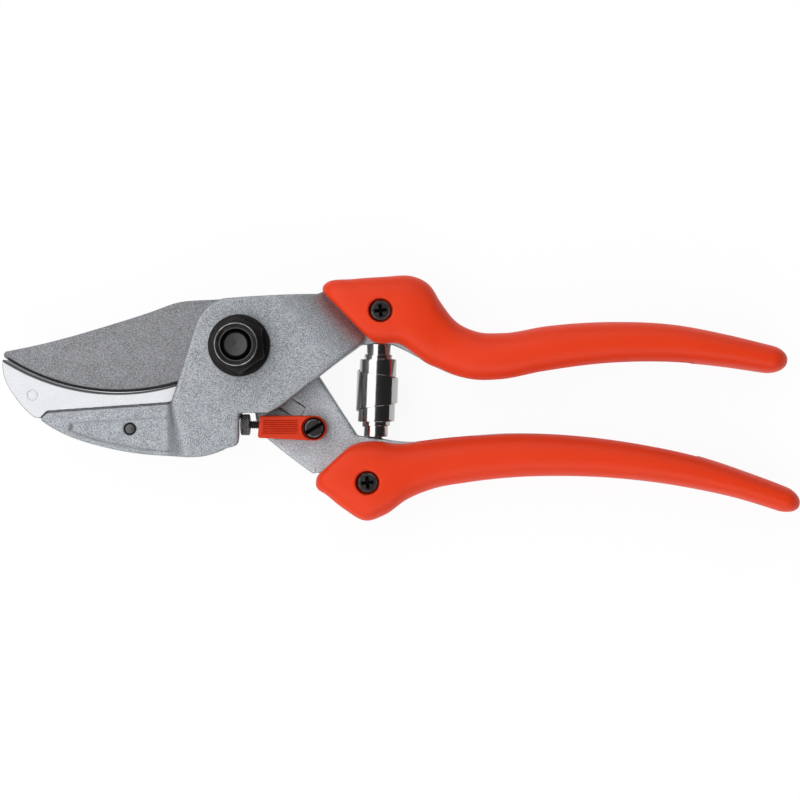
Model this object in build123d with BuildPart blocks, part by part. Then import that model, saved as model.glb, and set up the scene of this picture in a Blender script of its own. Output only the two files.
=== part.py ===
"""Pruning shears with an anvil jaw, lying closed and locked on a table.

The origin is on the table under the pivot. +X runs along the handles, +Y towards the
upper handle and +Z up, out of the front face. Sizes are in millimetres.
"""

from build123d import *
from math import cos, hypot, pi, sin, sqrt
import os

os.makedirs("parts", exist_ok=True)

# Clearances
RUN_GAP = 0.10  # between flat faces that slide on each other
PIN_GAP = 0.04  # round a pin, screw or bolt, on the radius
SEAT_GAP = 0.12  # round a piece that is let into another
GRIP_GAP = 0.15  # between a grip's slot and the lever's tang
EDGE_GAP = 0.15  # between the closed blade and the anvil
SLIDE_GAP = 0.3  # between pieces that swing past each other

# Heights of the stacked layers
BOLT_HEAD_T = 3.4
REAR_BACK = BOLT_HEAD_T + RUN_GAP
REAR_T = 7.5
BLADE_T = 3.0
REAR_FRONT = REAR_BACK + REAR_T
BLADE_BACK = REAR_FRONT - BLADE_T
EDGE_Z = REAR_FRONT - BLADE_T / 2
PLATE_BACK = REAR_FRONT + RUN_GAP
PLATE_T = 7.0
PLATE_FRONT = PLATE_BACK + PLATE_T
JAW_T = 9.0
JAW_BACK = EDGE_Z - JAW_T / 2
JAW_FRONT = EDGE_Z + JAW_T / 2
ANVIL_T = 8.0
TANG_T = 6.0
GRIP_T = 17.0
GRIP_MID = GRIP_T / 2
TANG_BACK = GRIP_MID - TANG_T / 2
TANG_FRONT = GRIP_MID + TANG_T / 2
CUT_HIGH = 70.0  # more than any cut that goes right through

# Pivot
BOLT_D = 8.0
BOLT_END_D = 6.2
HEX_AF = 13.0
WASHER_D = 16.0
WASHER_T = 1.2
NUT_HEX_T = 5.4
NUT_COLLAR_D = 11.3
NUT_COLLAR_T = 2.5
NUT_RING_WALL = 0.31
NUT_MOUTH_D = BOLT_D + 2 * (PIN_GAP + NUT_RING_WALL)
NUT_RING_T = 1.6
NUT_LIP = 0.5
NUT_COLLAR_ROUND = 0.6
NUT_TURN = 5.0
BOLT_SHORT = 0.7  # how far the bolt's end stays inside the nut
BUSH_WALL = 1.0
BUSH_D = BOLT_D + 2 * (PIN_GAP + BUSH_WALL)
NUT_BACK = PLATE_FRONT + WASHER_T
NUT_FRONT = NUT_BACK + NUT_HEX_T + NUT_COLLAR_T

# Front lever, with the lower jaw
JAW_TOE = (-52.4, -19.2)
JAW_BELLY = [
    JAW_TOE,
    (-47.3, -22.4),
    (-36.8, -26.1),
    (-26.4, -28.1),
    (-15.5, -28.8),
    (-7.5, -28.2),
    (-2.4, -26.3),
]
NOTCH_LOW = (0.0, -23.3)
NOTCH_TOP = (0.0, -17.4)
NOTCH_END = (7.4, -17.4)
ARM_LOW = (10.5, -15.7)
SEAT_LEFT = (31.3, 0.5)
ARM_INSIDE = (34.0, 6.0)
ARM_TOP_END = (24.0, 14.0)
PLATE_TOP = [ARM_TOP_END, (13.0, 13.3), (2.0, 12.7), (-4.4, 12.2)]
PLATE_SHOULDER = [(-4.4, 12.2), (-8.3, 9.9), (-11.2, 5.8)]
JAW_HEEL = (-17.7, -15.0)
HEEL_ROUND = 1.3  # rounding of the seat at its heel and its nose
JAW_SEAT_LEFT = (-50.6, -17.3)
BELLY_START = (0.8, -0.6)  # ways in which the belly leaves the toe and meets the notch
BELLY_END = (0.0, 1.0)
REAR_SPACE_X = -5.0  # the jaw's thick part ends here, so the rear lever can swing in front of it
REAR_SPACE_Y = -15.2
STEP_ENDS = [(-9.0, -19.1, -18.4), (-30.0, -21.6, -11.5)]  # the step down to the jaw: its Y, foot and head
JOG_BACK = (14.0, 20.0)  # distances along the arm where its back and front come down
JOG_FRONT = (14.5, 25.0)
JOG_SLOPE = (1.0, -1.2)  # way in which the front goes under the grip
PANEL_TOP = [(-44.2, -20.0), (-15.0, -18.2)]  # shallow panel on the jaw's front, up to the step
PANEL_LOW = [(-12.6, -28.0), (-21.0, -27.4), (-29.0, -26.4), (-37.0, -24.6), (-44.8, -22.1)]
PANEL_DEPTH = 0.7
FRONT_ROUND = 0.5
KNOB_SKIN = 1.65  # front skin left over the knob's path
KNOB_PATH = [(0.0, -18.2), (-2.6, -23.6), (-4.9, -28.0), (-4.9, -32.0), (6.0, -32.0), (6.0, -18.2)]

# Tangs inside the grips: outer edge, inner edge
FRONT_TANG_OUTER = [
    (20.0, 13.9),
    (40.0, 13.2),
    (49.0, 7.0),
    (57.0, 0.6),
    (66.5, -2.4),
    (86.0, 0.4),
    (102.0, 1.6),
    (118.0, 1.1),
]
FRONT_TANG_INNER = [
    (39.4, SEAT_LEFT[1]),
    (46.7, -3.1),
    (54.6, -7.0),
    (62.5, -8.5),
    (70.4, -7.9),
    (86.2, -5.0),
    (102.0, -3.6),
    (118.0, -3.9),
]
FRONT_TANG_ROOT = (25.0, 5.0)
REAR_TANG_OUTER = [
    (15.0, -28.5),
    (24.0, -36.0),
    (33.0, -39.2),
    (44.0, -35.6),
    (54.0, -32.2),
    (66.0, -30.0),
    (80.0, -29.2),
    (95.0, -30.3),
    (110.0, -32.4),
    (120.0, -34.3),
]
REAR_TANG_INNER = [
    (37.5, -24.4),
    (47.0, -25.1),
    (62.5, -23.4),
    (78.3, -23.0),
    (94.1, -24.5),
    (110.0, -27.1),
    (120.0, -29.6),
]
SLOT_OPEN = 5.0  # how far a grip's slot reaches past the tang, out of the inner side

# Anvil and its pin
ANVIL_TIP = (-62.3, -3.6)
ANVIL_NOSE = [ANVIL_TIP, (-61.8, -8.0), (-58.2, -14.3), (-53.9, -18.6)]
NOSE_START = (0.0, -1.0)
ANVIL_GAP = 0.3  # round the anvil, between it and the front lever
TONGUE = [(-44.0, -14.0), (-44.0, -20.3), (-24.0, -24.3), (-22.0, -24.3), (-22.0, -14.0)]
TONGUE_T = 3.0
ANVIL_BEVEL = 0.6
RING_MARK_AT = (-54.3, -12.8)
RING_MARK_D = 2.9
RING_MARK_W = 0.25
RING_MARK_DEPTH = 0.12
ANVIL_PIN_AT = (-29.0, -21.6)
ANVIL_PIN_D = 3.1

# Blade: the edge is one arc
EDGE_LOW = (-32.35, -12.02)
EDGE_R = 54.75
EDGE_CENTRE = (EDGE_LOW[0], EDGE_LOW[1] + EDGE_R)
BEVEL = 0.8
EDGE_LAND = 0.16
BLADE_TIP = (-62.6, -2.3)
BLADE_BACK_EDGE = [
    (-62.0, -1.35),
    (-47.7, 1.8),
    (-32.0, 6.4),
    (-21.5, 9.9),
    (-17.2, 11.4),
    (-11.0, 12.1),
    (-4.0, 12.5),
]
BLADE_HUB_R = 12.5
TAIL_START = (4.0, -9.9)
TAIL_END = (15.7, -17.7)
TAIL_W = 3.4

# Rear lever
HUB_R = 12.0
REAR_LEFT_TOP = (-3.0, -11.6)
REAR_LEFT = [(3.4, -17.5), (4.2, -21.0), (7.0, -24.6)]
REAR_BELOW = [(7.0, -24.6), (12.0, -28.6), (18.8, -33.6)]
REAR_ARM_END = (27.9, -25.6)
REAR_SEAT_LEFT = (30.2, -23.4)
REAR_RIGHT = [REAR_SEAT_LEFT, (25.7, -16.5), (20.5, -8.4)]
REAR_RIGHT_TOP = (10.6, 5.6)

# Catch with its screw, and the stop screw at its end
CATCH_AXIS = (19.1, -21.4)
CATCH_END_R = 3.25
CATCH_LEFT_X = 4.7
CATCH_LEFT_TOP = -18.1
CATCH_LEFT_LOW = -23.9
CATCH_T = 4.0
CATCH_WASHER_D = 6.2
CATCH_WASHER_T = 0.4
CATCH_GAP = 0.05
CATCH_BACK = REAR_FRONT + CATCH_WASHER_T + CATCH_GAP
CATCH_FRONT = CATCH_BACK + CATCH_T
CATCH_HEAD_D = 5.5
CATCH_HEAD_T = 1.4
CATCH_SHOULDER_D = 4.0
CATCH_THREAD_D = 3.0
CATCH_THREAD_L = 5.5
SLOT_W = 0.9
SLOT_DEPTH = 0.7
SLOT_TURN = 31.0
CATCH_ROUND = 0.5
RIBS = 7
RIB_PITCH = 0.66
RIB_W = 0.35
RIB_DEPTH = 0.4
RIB_ENDS = (6.2, 14.8)
STOP_Y = -20.5
STOP_Z = CATCH_BACK + CATCH_T / 2
KNOB_D = 5.6
KNOB_L = 2.2
KNOB_ROUND = 0.6
KNOB_X = EDGE_GAP
KNOB_BORE_L = 1.4
STEM_D = 2.2
STEM_END_X = 9.0
STEM_TRAVEL = 1.2

# Grips: each station is an outer point, an inner point and a thickness
UPPER_GRIP = [
    ((20.7, 15.2), (33.9, 1.5), 15.0),
    ((22.6, 16.9), (35.6, 1.0), 16.0),
    ((29.0, 17.8), (38.6, 0.8), 16.5),
    ((37.0, 18.4), (41.6, 0.4), 16.7),
    ((44.6, 18.6), (45.2, -2.2), 16.7),
    ((49.2, 16.2), (48.6, -4.7), 16.7),
    ((52.2, 11.6), (51.6, -6.2), 16.7),
    ((56.0, 6.8), (55.4, -7.8), 16.7),
    ((61.5, 4.0), (61.0, -9.0), 16.7),
    ((68.5, 3.6), (68.0, -8.9), 16.7),
    ((80.0, 5.4), (79.0, -6.8), 16.7),
    ((97.0, 6.5), (96.5, -4.5), 16.7),
    ((114.0, 5.7), (113.5, -4.2), 16.7),
    ((129.0, 2.8), (127.0, -5.4), 16.2),
    ((139.6, 0.2), (137.8, -6.9), 14.6),
    ((142.6, -1.8), (141.6, -5.9), 9.5),
]
LOWER_GRIP = [
    ((19.0, -34.6), (28.4, -25.9), 15.0),
    ((19.5, -36.9), (29.8, -25.4), 16.0),
    ((22.0, -38.9), (32.2, -24.9), 16.5),
    ((26.6, -42.6), (36.0, -24.8), 16.7),
    ((32.6, -45.8), (39.6, -25.3), 16.7),
    ((37.4, -44.3), (42.4, -25.3), 16.7),
    ((43.0, -40.4), (46.6, -24.7), 16.7),
    ((50.0, -37.5), (52.5, -23.9), 16.7),
    ((59.0, -35.8), (60.5, -23.2), 16.7),
    ((70.5, -34.5), (70.8, -22.6), 16.7),
    ((85.0, -34.1), (85.6, -23.1), 16.7),
    ((101.0, -34.9), (103.0, -25.2), 16.7),
    ((117.0, -37.1), (120.0, -28.8), 16.7),
    ((131.5, -40.3), (134.4, -33.6), 16.2),
    ((142.0, -43.5), (144.2, -37.6), 14.6),
    ((145.9, -42.6), (146.7, -39.6), 9.5),
]
GRIP_ROUND = 0.40  # corner radius of a grip's section, as a share of its lesser side
UPPER_SCREW_AT = (36.4, 9.2)
LOWER_SCREW_AT = (33.0, -35.5)
GRIP_SCREW_HEAD_D = 5.2
GRIP_SCREW_HEAD_T = 2.0
GRIP_SCREW_RECESS_D = 6.2
GRIP_SCREW_FLOOR = 13.6
GRIP_SCREW_D = 3.0
GRIP_SCREW_END = TANG_BACK + 0.6
CROSS_L = 3.0
CROSS_W = 0.8
CROSS_DEPTH = 1.0

# Spring: one tapered strip rolled up, slit into an upper and a lower leg behind its outer turn
SPRING_T = 0.4
SPRING_WIDTHS = [10.4, 9.55, 8.7, 7.1, 5.7, 4.85]  # diameters of its half turns, from outside in
SPRING_TALL = [3.15, 5.5, 7.85, 10.2, 11.85, 11.85, 11.85]  # half height at the ends of the half turns
SPRING_SLIT = [0.0, 0.35, 2.4, 4.4, 6.4, 8.0, 9.0]  # half height of the slit there
SPRING_AT = (35.4, -11.55)
SPRING_STEPS = 24  # points along each half turn where the gap is measured
SPRING_REACH = 2 * SPRING_TALL[-1]  # longer than half the spring, for its cuts
PEG_D = 3.2
PEG_L = 3.5
PEG_BASE = 1.0  # how deep a peg is rooted in its lever
PEG_X = SPRING_AT[0] - 0.5  # middle of the innermost turn


def shifted(points, dx, dy):
    """The points of an edge, moved sideways."""
    return [(x + dx, y + dy) for x, y in points]


def across(outer, inner, z):
    """The plane of a grip's section: X from the inner point to the outer one, facing +X."""
    dx = outer[0] - inner[0]
    dy = outer[1] - inner[1]
    side = 1 if dy > 0 else -1
    middle = ((outer[0] + inner[0]) / 2, (outer[1] + inner[1]) / 2, z)
    return Plane(origin=middle, x_dir=(dx, dy, 0), z_dir=(side * dy, -side * dx, 0))


# Plane that looks along the arm's bend: its X runs up the arm, its Y is +Z
ARM_PLANE = Plane(origin=(0, 0, 0), x_dir=(1, 1, 0), z_dir=(1, -1, 0))

# Space above the jaw, and above the shallow panel on it: the plate comes down in a double curve
jaw_spaces = []
for jaw_level in (JAW_FRONT, JAW_FRONT - PANEL_DEPTH):
    with BuildPart() as jaw_space:
        for step_y, foot_x, head_x in STEP_ENDS:
            with BuildSketch(Plane.XZ.offset(-step_y)):
                with BuildLine():
                    Spline((foot_x, jaw_level), (head_x, PLATE_FRONT), tangents=[(1, 0), (1, 0)])
                    Polyline(
                        (head_x, PLATE_FRONT),
                        (head_x, CUT_HIGH),
                        (-CUT_HIGH, CUT_HIGH),
                        (-CUT_HIGH, jaw_level),
                        (foot_x, jaw_level),
                    )
                make_face()
        loft()
        if jaw_spaces:
            with BuildSketch():
                with BuildLine():
                    Polyline(*PANEL_TOP, PANEL_LOW[0])
                    Spline(*PANEL_LOW)
                    Line(PANEL_LOW[-1], PANEL_TOP[0])
                make_face()
            extrude(amount=CUT_HIGH, mode=Mode.INTERSECT)
    jaw_spaces.append(jaw_space.part)

# Front lever
with BuildPart() as anvil_lever:
    with BuildSketch(Plane.XY.offset(JAW_BACK)) as lever_face:
        with BuildLine():
            Spline(*JAW_BELLY, NOTCH_LOW, tangents=[BELLY_START, BELLY_END])
            Polyline(NOTCH_LOW, NOTCH_TOP, NOTCH_END, ARM_LOW, SEAT_LEFT, ARM_INSIDE, ARM_TOP_END)
            Spline(*PLATE_TOP)
            ThreePointArc(*PLATE_SHOULDER)
            FilletPolyline(PLATE_SHOULDER[-1], JAW_HEEL, JAW_SEAT_LEFT, JAW_TOE, radius=HEEL_ROUND)
        make_face()
    extrude(amount=PLATE_FRONT - JAW_BACK)
    fillet(anvil_lever.edges().group_by(Axis.Z)[-1], FRONT_ROUND)
    # Room behind the front plate for the rear lever and the blade
    with BuildSketch() as rear_space:
        Polygon(
            (-CUT_HIGH, REAR_SPACE_Y),
            (REAR_SPACE_X, REAR_SPACE_Y),
            (REAR_SPACE_X, -CUT_HIGH),
            (JOG_BACK[0] * sqrt(2) + CUT_HIGH, -CUT_HIGH),
            (JOG_BACK[0] * sqrt(2) - CUT_HIGH, CUT_HIGH),
            (-CUT_HIGH, CUT_HIGH),
            align=None,
        )
    extrude(amount=PLATE_BACK, mode=Mode.SUBTRACT)
    add(jaw_spaces, mode=Mode.SUBTRACT)
    # The arm comes down to the tang's level, in a curve on its front
    with BuildSketch(ARM_PLANE) as arm_bend:
        with BuildLine():
            Spline((JOG_FRONT[0], PLATE_FRONT), (JOG_FRONT[1], TANG_FRONT), tangents=[(1, 0), JOG_SLOPE])
            Polyline(
                (JOG_FRONT[1], TANG_FRONT),
                (CUT_HIGH, TANG_FRONT),
                (CUT_HIGH, CUT_HIGH),
                (JOG_FRONT[0], CUT_HIGH),
                (JOG_FRONT[0], PLATE_FRONT),
            )
        make_face()
        Polygon(
            (JOG_BACK[0], 0),
            (JOG_BACK[0], PLATE_BACK),
            (JOG_BACK[1], TANG_BACK),
            (CUT_HIGH, TANG_BACK),
            (CUT_HIGH, 0),
            align=None,
        )
    extrude(amount=CUT_HIGH, both=True, mode=Mode.SUBTRACT)
    # Room under the front skin for the knob as the catch swings away
    with BuildSketch() as knob_space:
        Polygon(*KNOB_PATH, align=None)
    extrude(amount=PLATE_FRONT - KNOB_SKIN, mode=Mode.SUBTRACT)
    # Tang inside the grip
    with BuildSketch(Plane.XY.offset(TANG_BACK)) as front_tang:
        with BuildLine():
            Spline(*FRONT_TANG_OUTER)
            Line(FRONT_TANG_OUTER[-1], FRONT_TANG_INNER[-1])
            Spline(*FRONT_TANG_INNER)
            Polyline(FRONT_TANG_INNER[0], SEAT_LEFT, FRONT_TANG_ROOT, FRONT_TANG_OUTER[0])
        make_face()
    extrude(amount=TANG_T)

    # Slot for the anvil's tongue
    with BuildSketch(Plane.XY.offset(EDGE_Z)) as tongue_slot:
        Polygon(*TONGUE, align=None)
        offset(amount=SEAT_GAP, kind=Kind.INTERSECTION)
    extrude(amount=TONGUE_T / 2 + SEAT_GAP, both=True, mode=Mode.SUBTRACT)
    # Bores for the bolt, the anvil's pin and the grip's screw
    with BuildSketch() as lever_bores:
        Circle(BOLT_D / 2 + PIN_GAP)
        with Locations(ANVIL_PIN_AT):
            Circle(ANVIL_PIN_D / 2 + PIN_GAP)
        with Locations(UPPER_SCREW_AT):
            Circle(GRIP_SCREW_D / 2 + PIN_GAP)
    extrude(amount=CUT_HIGH, mode=Mode.SUBTRACT)
    # Peg that the spring stands on
    with BuildSketch(Plane.XZ.offset(-SEAT_LEFT[1] - PEG_BASE)) as front_peg:
        with Locations((PEG_X, GRIP_MID)):
            Circle(PEG_D / 2)
    extrude(amount=PEG_L + PEG_BASE)

# Anvil, with a tongue that goes into the jaw
anvil_heel = shifted([JAW_HEEL], -ANVIL_GAP, ANVIL_GAP) + shifted(PLATE_SHOULDER[-1:], -ANVIL_GAP, 0)
anvil_seat = shifted([JAW_TOE, JAW_SEAT_LEFT], 0, ANVIL_GAP) + anvil_heel
with BuildPart() as anvil:
    with BuildSketch(Plane.XY.offset(EDGE_Z)) as anvil_face:
        with BuildLine():
            Spline(*ANVIL_NOSE, tangents=[NOSE_START, BELLY_START])
            Line(ANVIL_NOSE[-1], anvil_seat[0])
            FilletPolyline(*anvil_seat, radius=HEEL_ROUND)
            Polyline(anvil_seat[-1], EDGE_CENTRE, ANVIL_TIP)
        make_face()
        with Locations(EDGE_CENTRE):
            Circle(EDGE_R + EDGE_GAP, mode=Mode.SUBTRACT)
    extrude(amount=ANVIL_T / 2, both=True)
    with BuildSketch(Plane.XY.offset(EDGE_Z)) as tongue_face:
        Polygon(*TONGUE, align=None)
    extrude(amount=TONGUE_T / 2, both=True)
    top_arcs = anvil.edges().filter_by(GeomType.CIRCLE).group_by(Axis.Z)[-1]
    chamfer(top_arcs.sort_by(SortBy.RADIUS)[-1], ANVIL_BEVEL)
    with BuildSketch(Plane.XY.offset(EDGE_Z + ANVIL_T / 2)) as ring_mark:
        with Locations(RING_MARK_AT):
            Circle(RING_MARK_D / 2)
            Circle(RING_MARK_D / 2 - RING_MARK_W, mode=Mode.SUBTRACT)
    extrude(amount=-RING_MARK_DEPTH, mode=Mode.SUBTRACT)
    with BuildSketch() as anvil_bore:
        with Locations(ANVIL_PIN_AT):
            Circle(ANVIL_PIN_D / 2 + PIN_GAP)
    extrude(amount=CUT_HIGH, mode=Mode.SUBTRACT)

# Pin through the jaw and the anvil's tongue
with BuildPart() as anvil_pin:
    with BuildSketch(Plane.XY.offset(JAW_BACK)) as pin_face:
        with Locations(ANVIL_PIN_AT):
            Circle(ANVIL_PIN_D / 2)
    extrude(amount=JAW_T - PANEL_DEPTH)

# Blade
with BuildPart() as blade:
    with BuildSketch(Plane.XY.offset(BLADE_BACK)) as blade_face:
        with BuildLine():
            Line((0, 0), BLADE_TIP)
            Line(BLADE_TIP, BLADE_BACK_EDGE[0])
            Spline(*BLADE_BACK_EDGE)
            Line(BLADE_BACK_EDGE[-1], (0, 0))
        make_face()
        Polygon(BLADE_TIP, (BLADE_TIP[0], -EDGE_R), (0, -EDGE_R), (0, 0), align=None)
        with Locations(EDGE_CENTRE):
            Circle(EDGE_R, mode=Mode.INTERSECT)
        Circle(BLADE_HUB_R)
        with BuildLine():
            Line(TAIL_START, TAIL_END)
        trace(line_width=TAIL_W)
        Circle(BUSH_D / 2 + PIN_GAP, mode=Mode.SUBTRACT)
    extrude(amount=BLADE_T)
    # Both faces are ground down to the edge
    with BuildSketch(Plane(origin=(*EDGE_CENTRE, EDGE_Z), x_dir=(1, 0, 0), z_dir=(0, -1, 0))) as bevels:
        with BuildLine():
            Polyline(
                (EDGE_R - BEVEL, BLADE_T / 2),
                (EDGE_R, EDGE_LAND / 2),
                (EDGE_R, BLADE_T / 2),
                close=True,
            )
        make_face()
        mirror(about=Plane.XZ)
    revolve(axis=Axis((*EDGE_CENTRE, 0), (0, 0, 1)), mode=Mode.SUBTRACT)

# Rear lever
with BuildPart() as blade_lever:
    with BuildSketch(Plane.XY.offset(REAR_BACK)) as rear_face:
        with BuildLine():
            Line(REAR_LEFT_TOP, REAR_LEFT[0])
            ThreePointArc(*REAR_LEFT)
            ThreePointArc(*REAR_BELOW)
            Polyline(REAR_BELOW[-1], REAR_ARM_END, *REAR_RIGHT, REAR_RIGHT_TOP, REAR_LEFT_TOP)
        make_face()
        Circle(HUB_R)
    extrude(amount=REAR_T)
    rear_edges = blade_lever.edges().group_by(Axis.Z)[-1]
    rear_edges = rear_edges.filter_by_position(Axis.Y, REAR_BELOW[-1][1], -HUB_R)
    arm_sides = rear_edges.filter_by(GeomType.LINE).filter_by_position(Axis.Y, REAR_LEFT[1][1], -HUB_R)
    fillet(rear_edges.filter_by(GeomType.CIRCLE) + arm_sides, FRONT_ROUND)
    with BuildSketch(Plane.XY.offset(TANG_BACK)) as rear_tang:
        with BuildLine():
            Spline(*REAR_TANG_OUTER)
            Line(REAR_TANG_OUTER[-1], REAR_TANG_INNER[-1])
            Spline(*REAR_TANG_INNER)
            Polyline(REAR_TANG_INNER[0], REAR_SEAT_LEFT, REAR_TANG_OUTER[0])
        make_face()
    extrude(amount=REAR_FRONT - TANG_BACK)
    # Pocket for the blade's hub and tail
    with BuildSketch(Plane.XY.offset(BLADE_BACK)) as blade_pocket:
        Circle(BLADE_HUB_R + SEAT_GAP)
        with BuildLine():
            Line(TAIL_START, TAIL_END)
        trace(line_width=TAIL_W + 2 * SEAT_GAP)
    extrude(amount=BLADE_T, mode=Mode.SUBTRACT)
    with BuildSketch() as rear_bores:
        Circle(BUSH_D / 2 + PIN_GAP)
        with Locations(CATCH_AXIS):
            Circle(CATCH_THREAD_D / 2 + PIN_GAP)
        with Locations(LOWER_SCREW_AT):
            Circle(GRIP_SCREW_D / 2 + PIN_GAP)
    extrude(amount=CUT_HIGH, mode=Mode.SUBTRACT)
    # Peg that the spring stands on
    with BuildSketch(Plane.XZ.offset(-REAR_SEAT_LEFT[1] + PEG_BASE)) as rear_peg:
        with Locations((PEG_X, GRIP_MID)):
            Circle(PEG_D / 2)
    extrude(amount=-PEG_L - PEG_BASE)

# Bolt, washer, nut and bush of the pivot
with BuildPart() as pivot_bolt:
    with BuildSketch() as bolt_head:
        RegularPolygon(HEX_AF / 2, 6, major_radius=False)
    extrude(amount=BOLT_HEAD_T)
    with BuildSketch() as bolt_shank:
        Circle(BOLT_D / 2)
    extrude(amount=NUT_FRONT - BOLT_SHORT)
    chamfer(pivot_bolt.edges().group_by(Axis.Z)[-1], (BOLT_D - BOLT_END_D) / 2)

with BuildPart() as pivot_washer:
    with BuildSketch(Plane.XY.offset(PLATE_FRONT)) as washer_face:
        Circle(WASHER_D / 2)
        Circle(BOLT_D / 2 + PIN_GAP, mode=Mode.SUBTRACT)
    extrude(amount=WASHER_T)

with BuildPart() as pivot_nut:
    with BuildSketch(Plane.XY.offset(NUT_BACK)) as nut_hex:
        RegularPolygon(HEX_AF / 2, 6, major_radius=False, rotation=NUT_TURN)
    extrude(amount=NUT_HEX_T)
    with BuildSketch(Plane.XY.offset(NUT_BACK)) as nut_collar:
        Circle(NUT_COLLAR_D / 2)
    extrude(amount=NUT_FRONT - NUT_BACK)
    fillet(pivot_nut.edges().group_by(Axis.Z)[-1], NUT_COLLAR_ROUND)
    with BuildSketch(Plane.XY.offset(NUT_BACK)) as nut_bore:
        Circle(BOLT_D / 2 + PIN_GAP)
    extrude(amount=CUT_HIGH, mode=Mode.SUBTRACT)
    with BuildSketch(Plane.XY.offset(NUT_FRONT - NUT_LIP - NUT_RING_T)) as ring_room:
        Circle(NUT_MOUTH_D / 2 + PIN_GAP)
    extrude(amount=CUT_HIGH, mode=Mode.SUBTRACT)

with BuildPart() as nut_ring:
    with BuildSketch(Plane.XY.offset(NUT_FRONT - NUT_LIP - NUT_RING_T)) as ring_face:
        Circle(NUT_MOUTH_D / 2)
        Circle(BOLT_D / 2 + PIN_GAP, mode=Mode.SUBTRACT)
    extrude(amount=NUT_RING_T)

with BuildPart() as pivot_bush:
    with BuildSketch(Plane.XY.offset(REAR_BACK)) as bush_face:
        Circle(BUSH_D / 2)
        Circle(BOLT_D / 2 + PIN_GAP, mode=Mode.SUBTRACT)
    extrude(amount=REAR_T)

# Catch, its screw and washer
with BuildPart() as catch:
    with BuildSketch(Plane.XY.offset(CATCH_BACK)) as catch_face:
        with Locations(CATCH_AXIS):
            Circle(CATCH_END_R)
        Polygon(
            (CATCH_AXIS[0], CATCH_AXIS[1] + CATCH_END_R),
            (CATCH_LEFT_X, CATCH_LEFT_TOP),
            (CATCH_LEFT_X, CATCH_LEFT_LOW),
            (CATCH_AXIS[0], CATCH_AXIS[1] - CATCH_END_R),
            align=None,
        )
    extrude(amount=CATCH_T)
    fillet(catch.edges().group_by(Axis.Z)[-1], CATCH_ROUND)
    # Fine ribs along its front
    with BuildSketch(Plane.XY.offset(CATCH_FRONT)) as rib_grooves:
        with Locations(((RIB_ENDS[0] + RIB_ENDS[1]) / 2, (CATCH_LEFT_TOP + CATCH_LEFT_LOW) / 2)):
            with GridLocations(0, RIB_PITCH, 1, RIBS):
                Rectangle(RIB_ENDS[1] - RIB_ENDS[0], RIB_W)
    extrude(amount=-RIB_DEPTH, mode=Mode.SUBTRACT)
    with BuildSketch() as catch_bore:
        with Locations(CATCH_AXIS):
            Circle(CATCH_SHOULDER_D / 2 + PIN_GAP)
    extrude(amount=CUT_HIGH, mode=Mode.SUBTRACT)
    with BuildSketch(Plane.XY.offset(CATCH_FRONT - CATCH_HEAD_T - CATCH_GAP)) as head_room:
        with Locations(CATCH_AXIS):
            Circle(CATCH_HEAD_D / 2 + SEAT_GAP)
    extrude(amount=CATCH_T, mode=Mode.SUBTRACT)
    with BuildSketch(Plane.YZ.offset(CATCH_LEFT_X)) as stem_bore:
        with Locations((STOP_Y, STOP_Z)):
            Circle(STEM_D / 2 + PIN_GAP)
    extrude(amount=STEM_END_X + STEM_TRAVEL + SLIDE_GAP - CATCH_LEFT_X, mode=Mode.SUBTRACT)

with BuildPart() as catch_washer:
    with BuildSketch(Plane.XY.offset(REAR_FRONT)) as catch_washer_face:
        with Locations(CATCH_AXIS):
            Circle(CATCH_WASHER_D / 2)
            Circle(CATCH_SHOULDER_D / 2 + PIN_GAP, mode=Mode.SUBTRACT)
    extrude(amount=CATCH_WASHER_T)

with BuildPart() as catch_screw:
    with BuildSketch(Plane.XY.offset(REAR_FRONT - CATCH_THREAD_L)) as catch_thread:
        with Locations(CATCH_AXIS):
            Circle(CATCH_THREAD_D / 2)
    extrude(amount=CATCH_THREAD_L)
    with BuildSketch(Plane.XY.offset(REAR_FRONT)) as catch_shoulder:
        with Locations(CATCH_AXIS):
            Circle(CATCH_SHOULDER_D / 2)
    extrude(amount=CATCH_FRONT - CATCH_HEAD_T - REAR_FRONT)
    with BuildSketch(Plane.XY.offset(CATCH_FRONT - CATCH_HEAD_T)) as catch_head:
        with Locations(CATCH_AXIS):
            Circle(CATCH_HEAD_D / 2)
    extrude(amount=CATCH_HEAD_T)
    with BuildSketch(Plane.XY.offset(CATCH_FRONT)) as driver_slot:
        with Locations(Location((*CATCH_AXIS, 0), SLOT_TURN)):
            Rectangle(2 * CATCH_HEAD_D, SLOT_W)
    extrude(amount=-SLOT_DEPTH, mode=Mode.SUBTRACT)

# Stop screw: a knurled knob on a stem that goes into the catch
with BuildPart() as adjuster_stem:
    with BuildSketch(Plane.YZ.offset(KNOB_X + KNOB_L - KNOB_BORE_L + PIN_GAP)) as stem_face:
        with Locations((STOP_Y, STOP_Z)):
            Circle(STEM_D / 2)
    extrude(amount=STEM_END_X - KNOB_X - KNOB_L + KNOB_BORE_L - PIN_GAP)

with BuildPart() as adjuster_knob:
    with BuildSketch(Plane.YZ.offset(KNOB_X)) as knob_face:
        with Locations((STOP_Y, STOP_Z)):
            Circle(KNOB_D / 2)
    extrude(amount=KNOB_L)
    fillet(adjuster_knob.edges().filter_by(GeomType.CIRCLE), KNOB_ROUND)
    with BuildSketch(Plane.YZ.offset(KNOB_X + KNOB_L - KNOB_BORE_L)) as knob_bore:
        with Locations((STOP_Y, STOP_Z)):
            Circle(STEM_D / 2 + PIN_GAP)
    extrude(amount=KNOB_BORE_L, mode=Mode.SUBTRACT)

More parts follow.
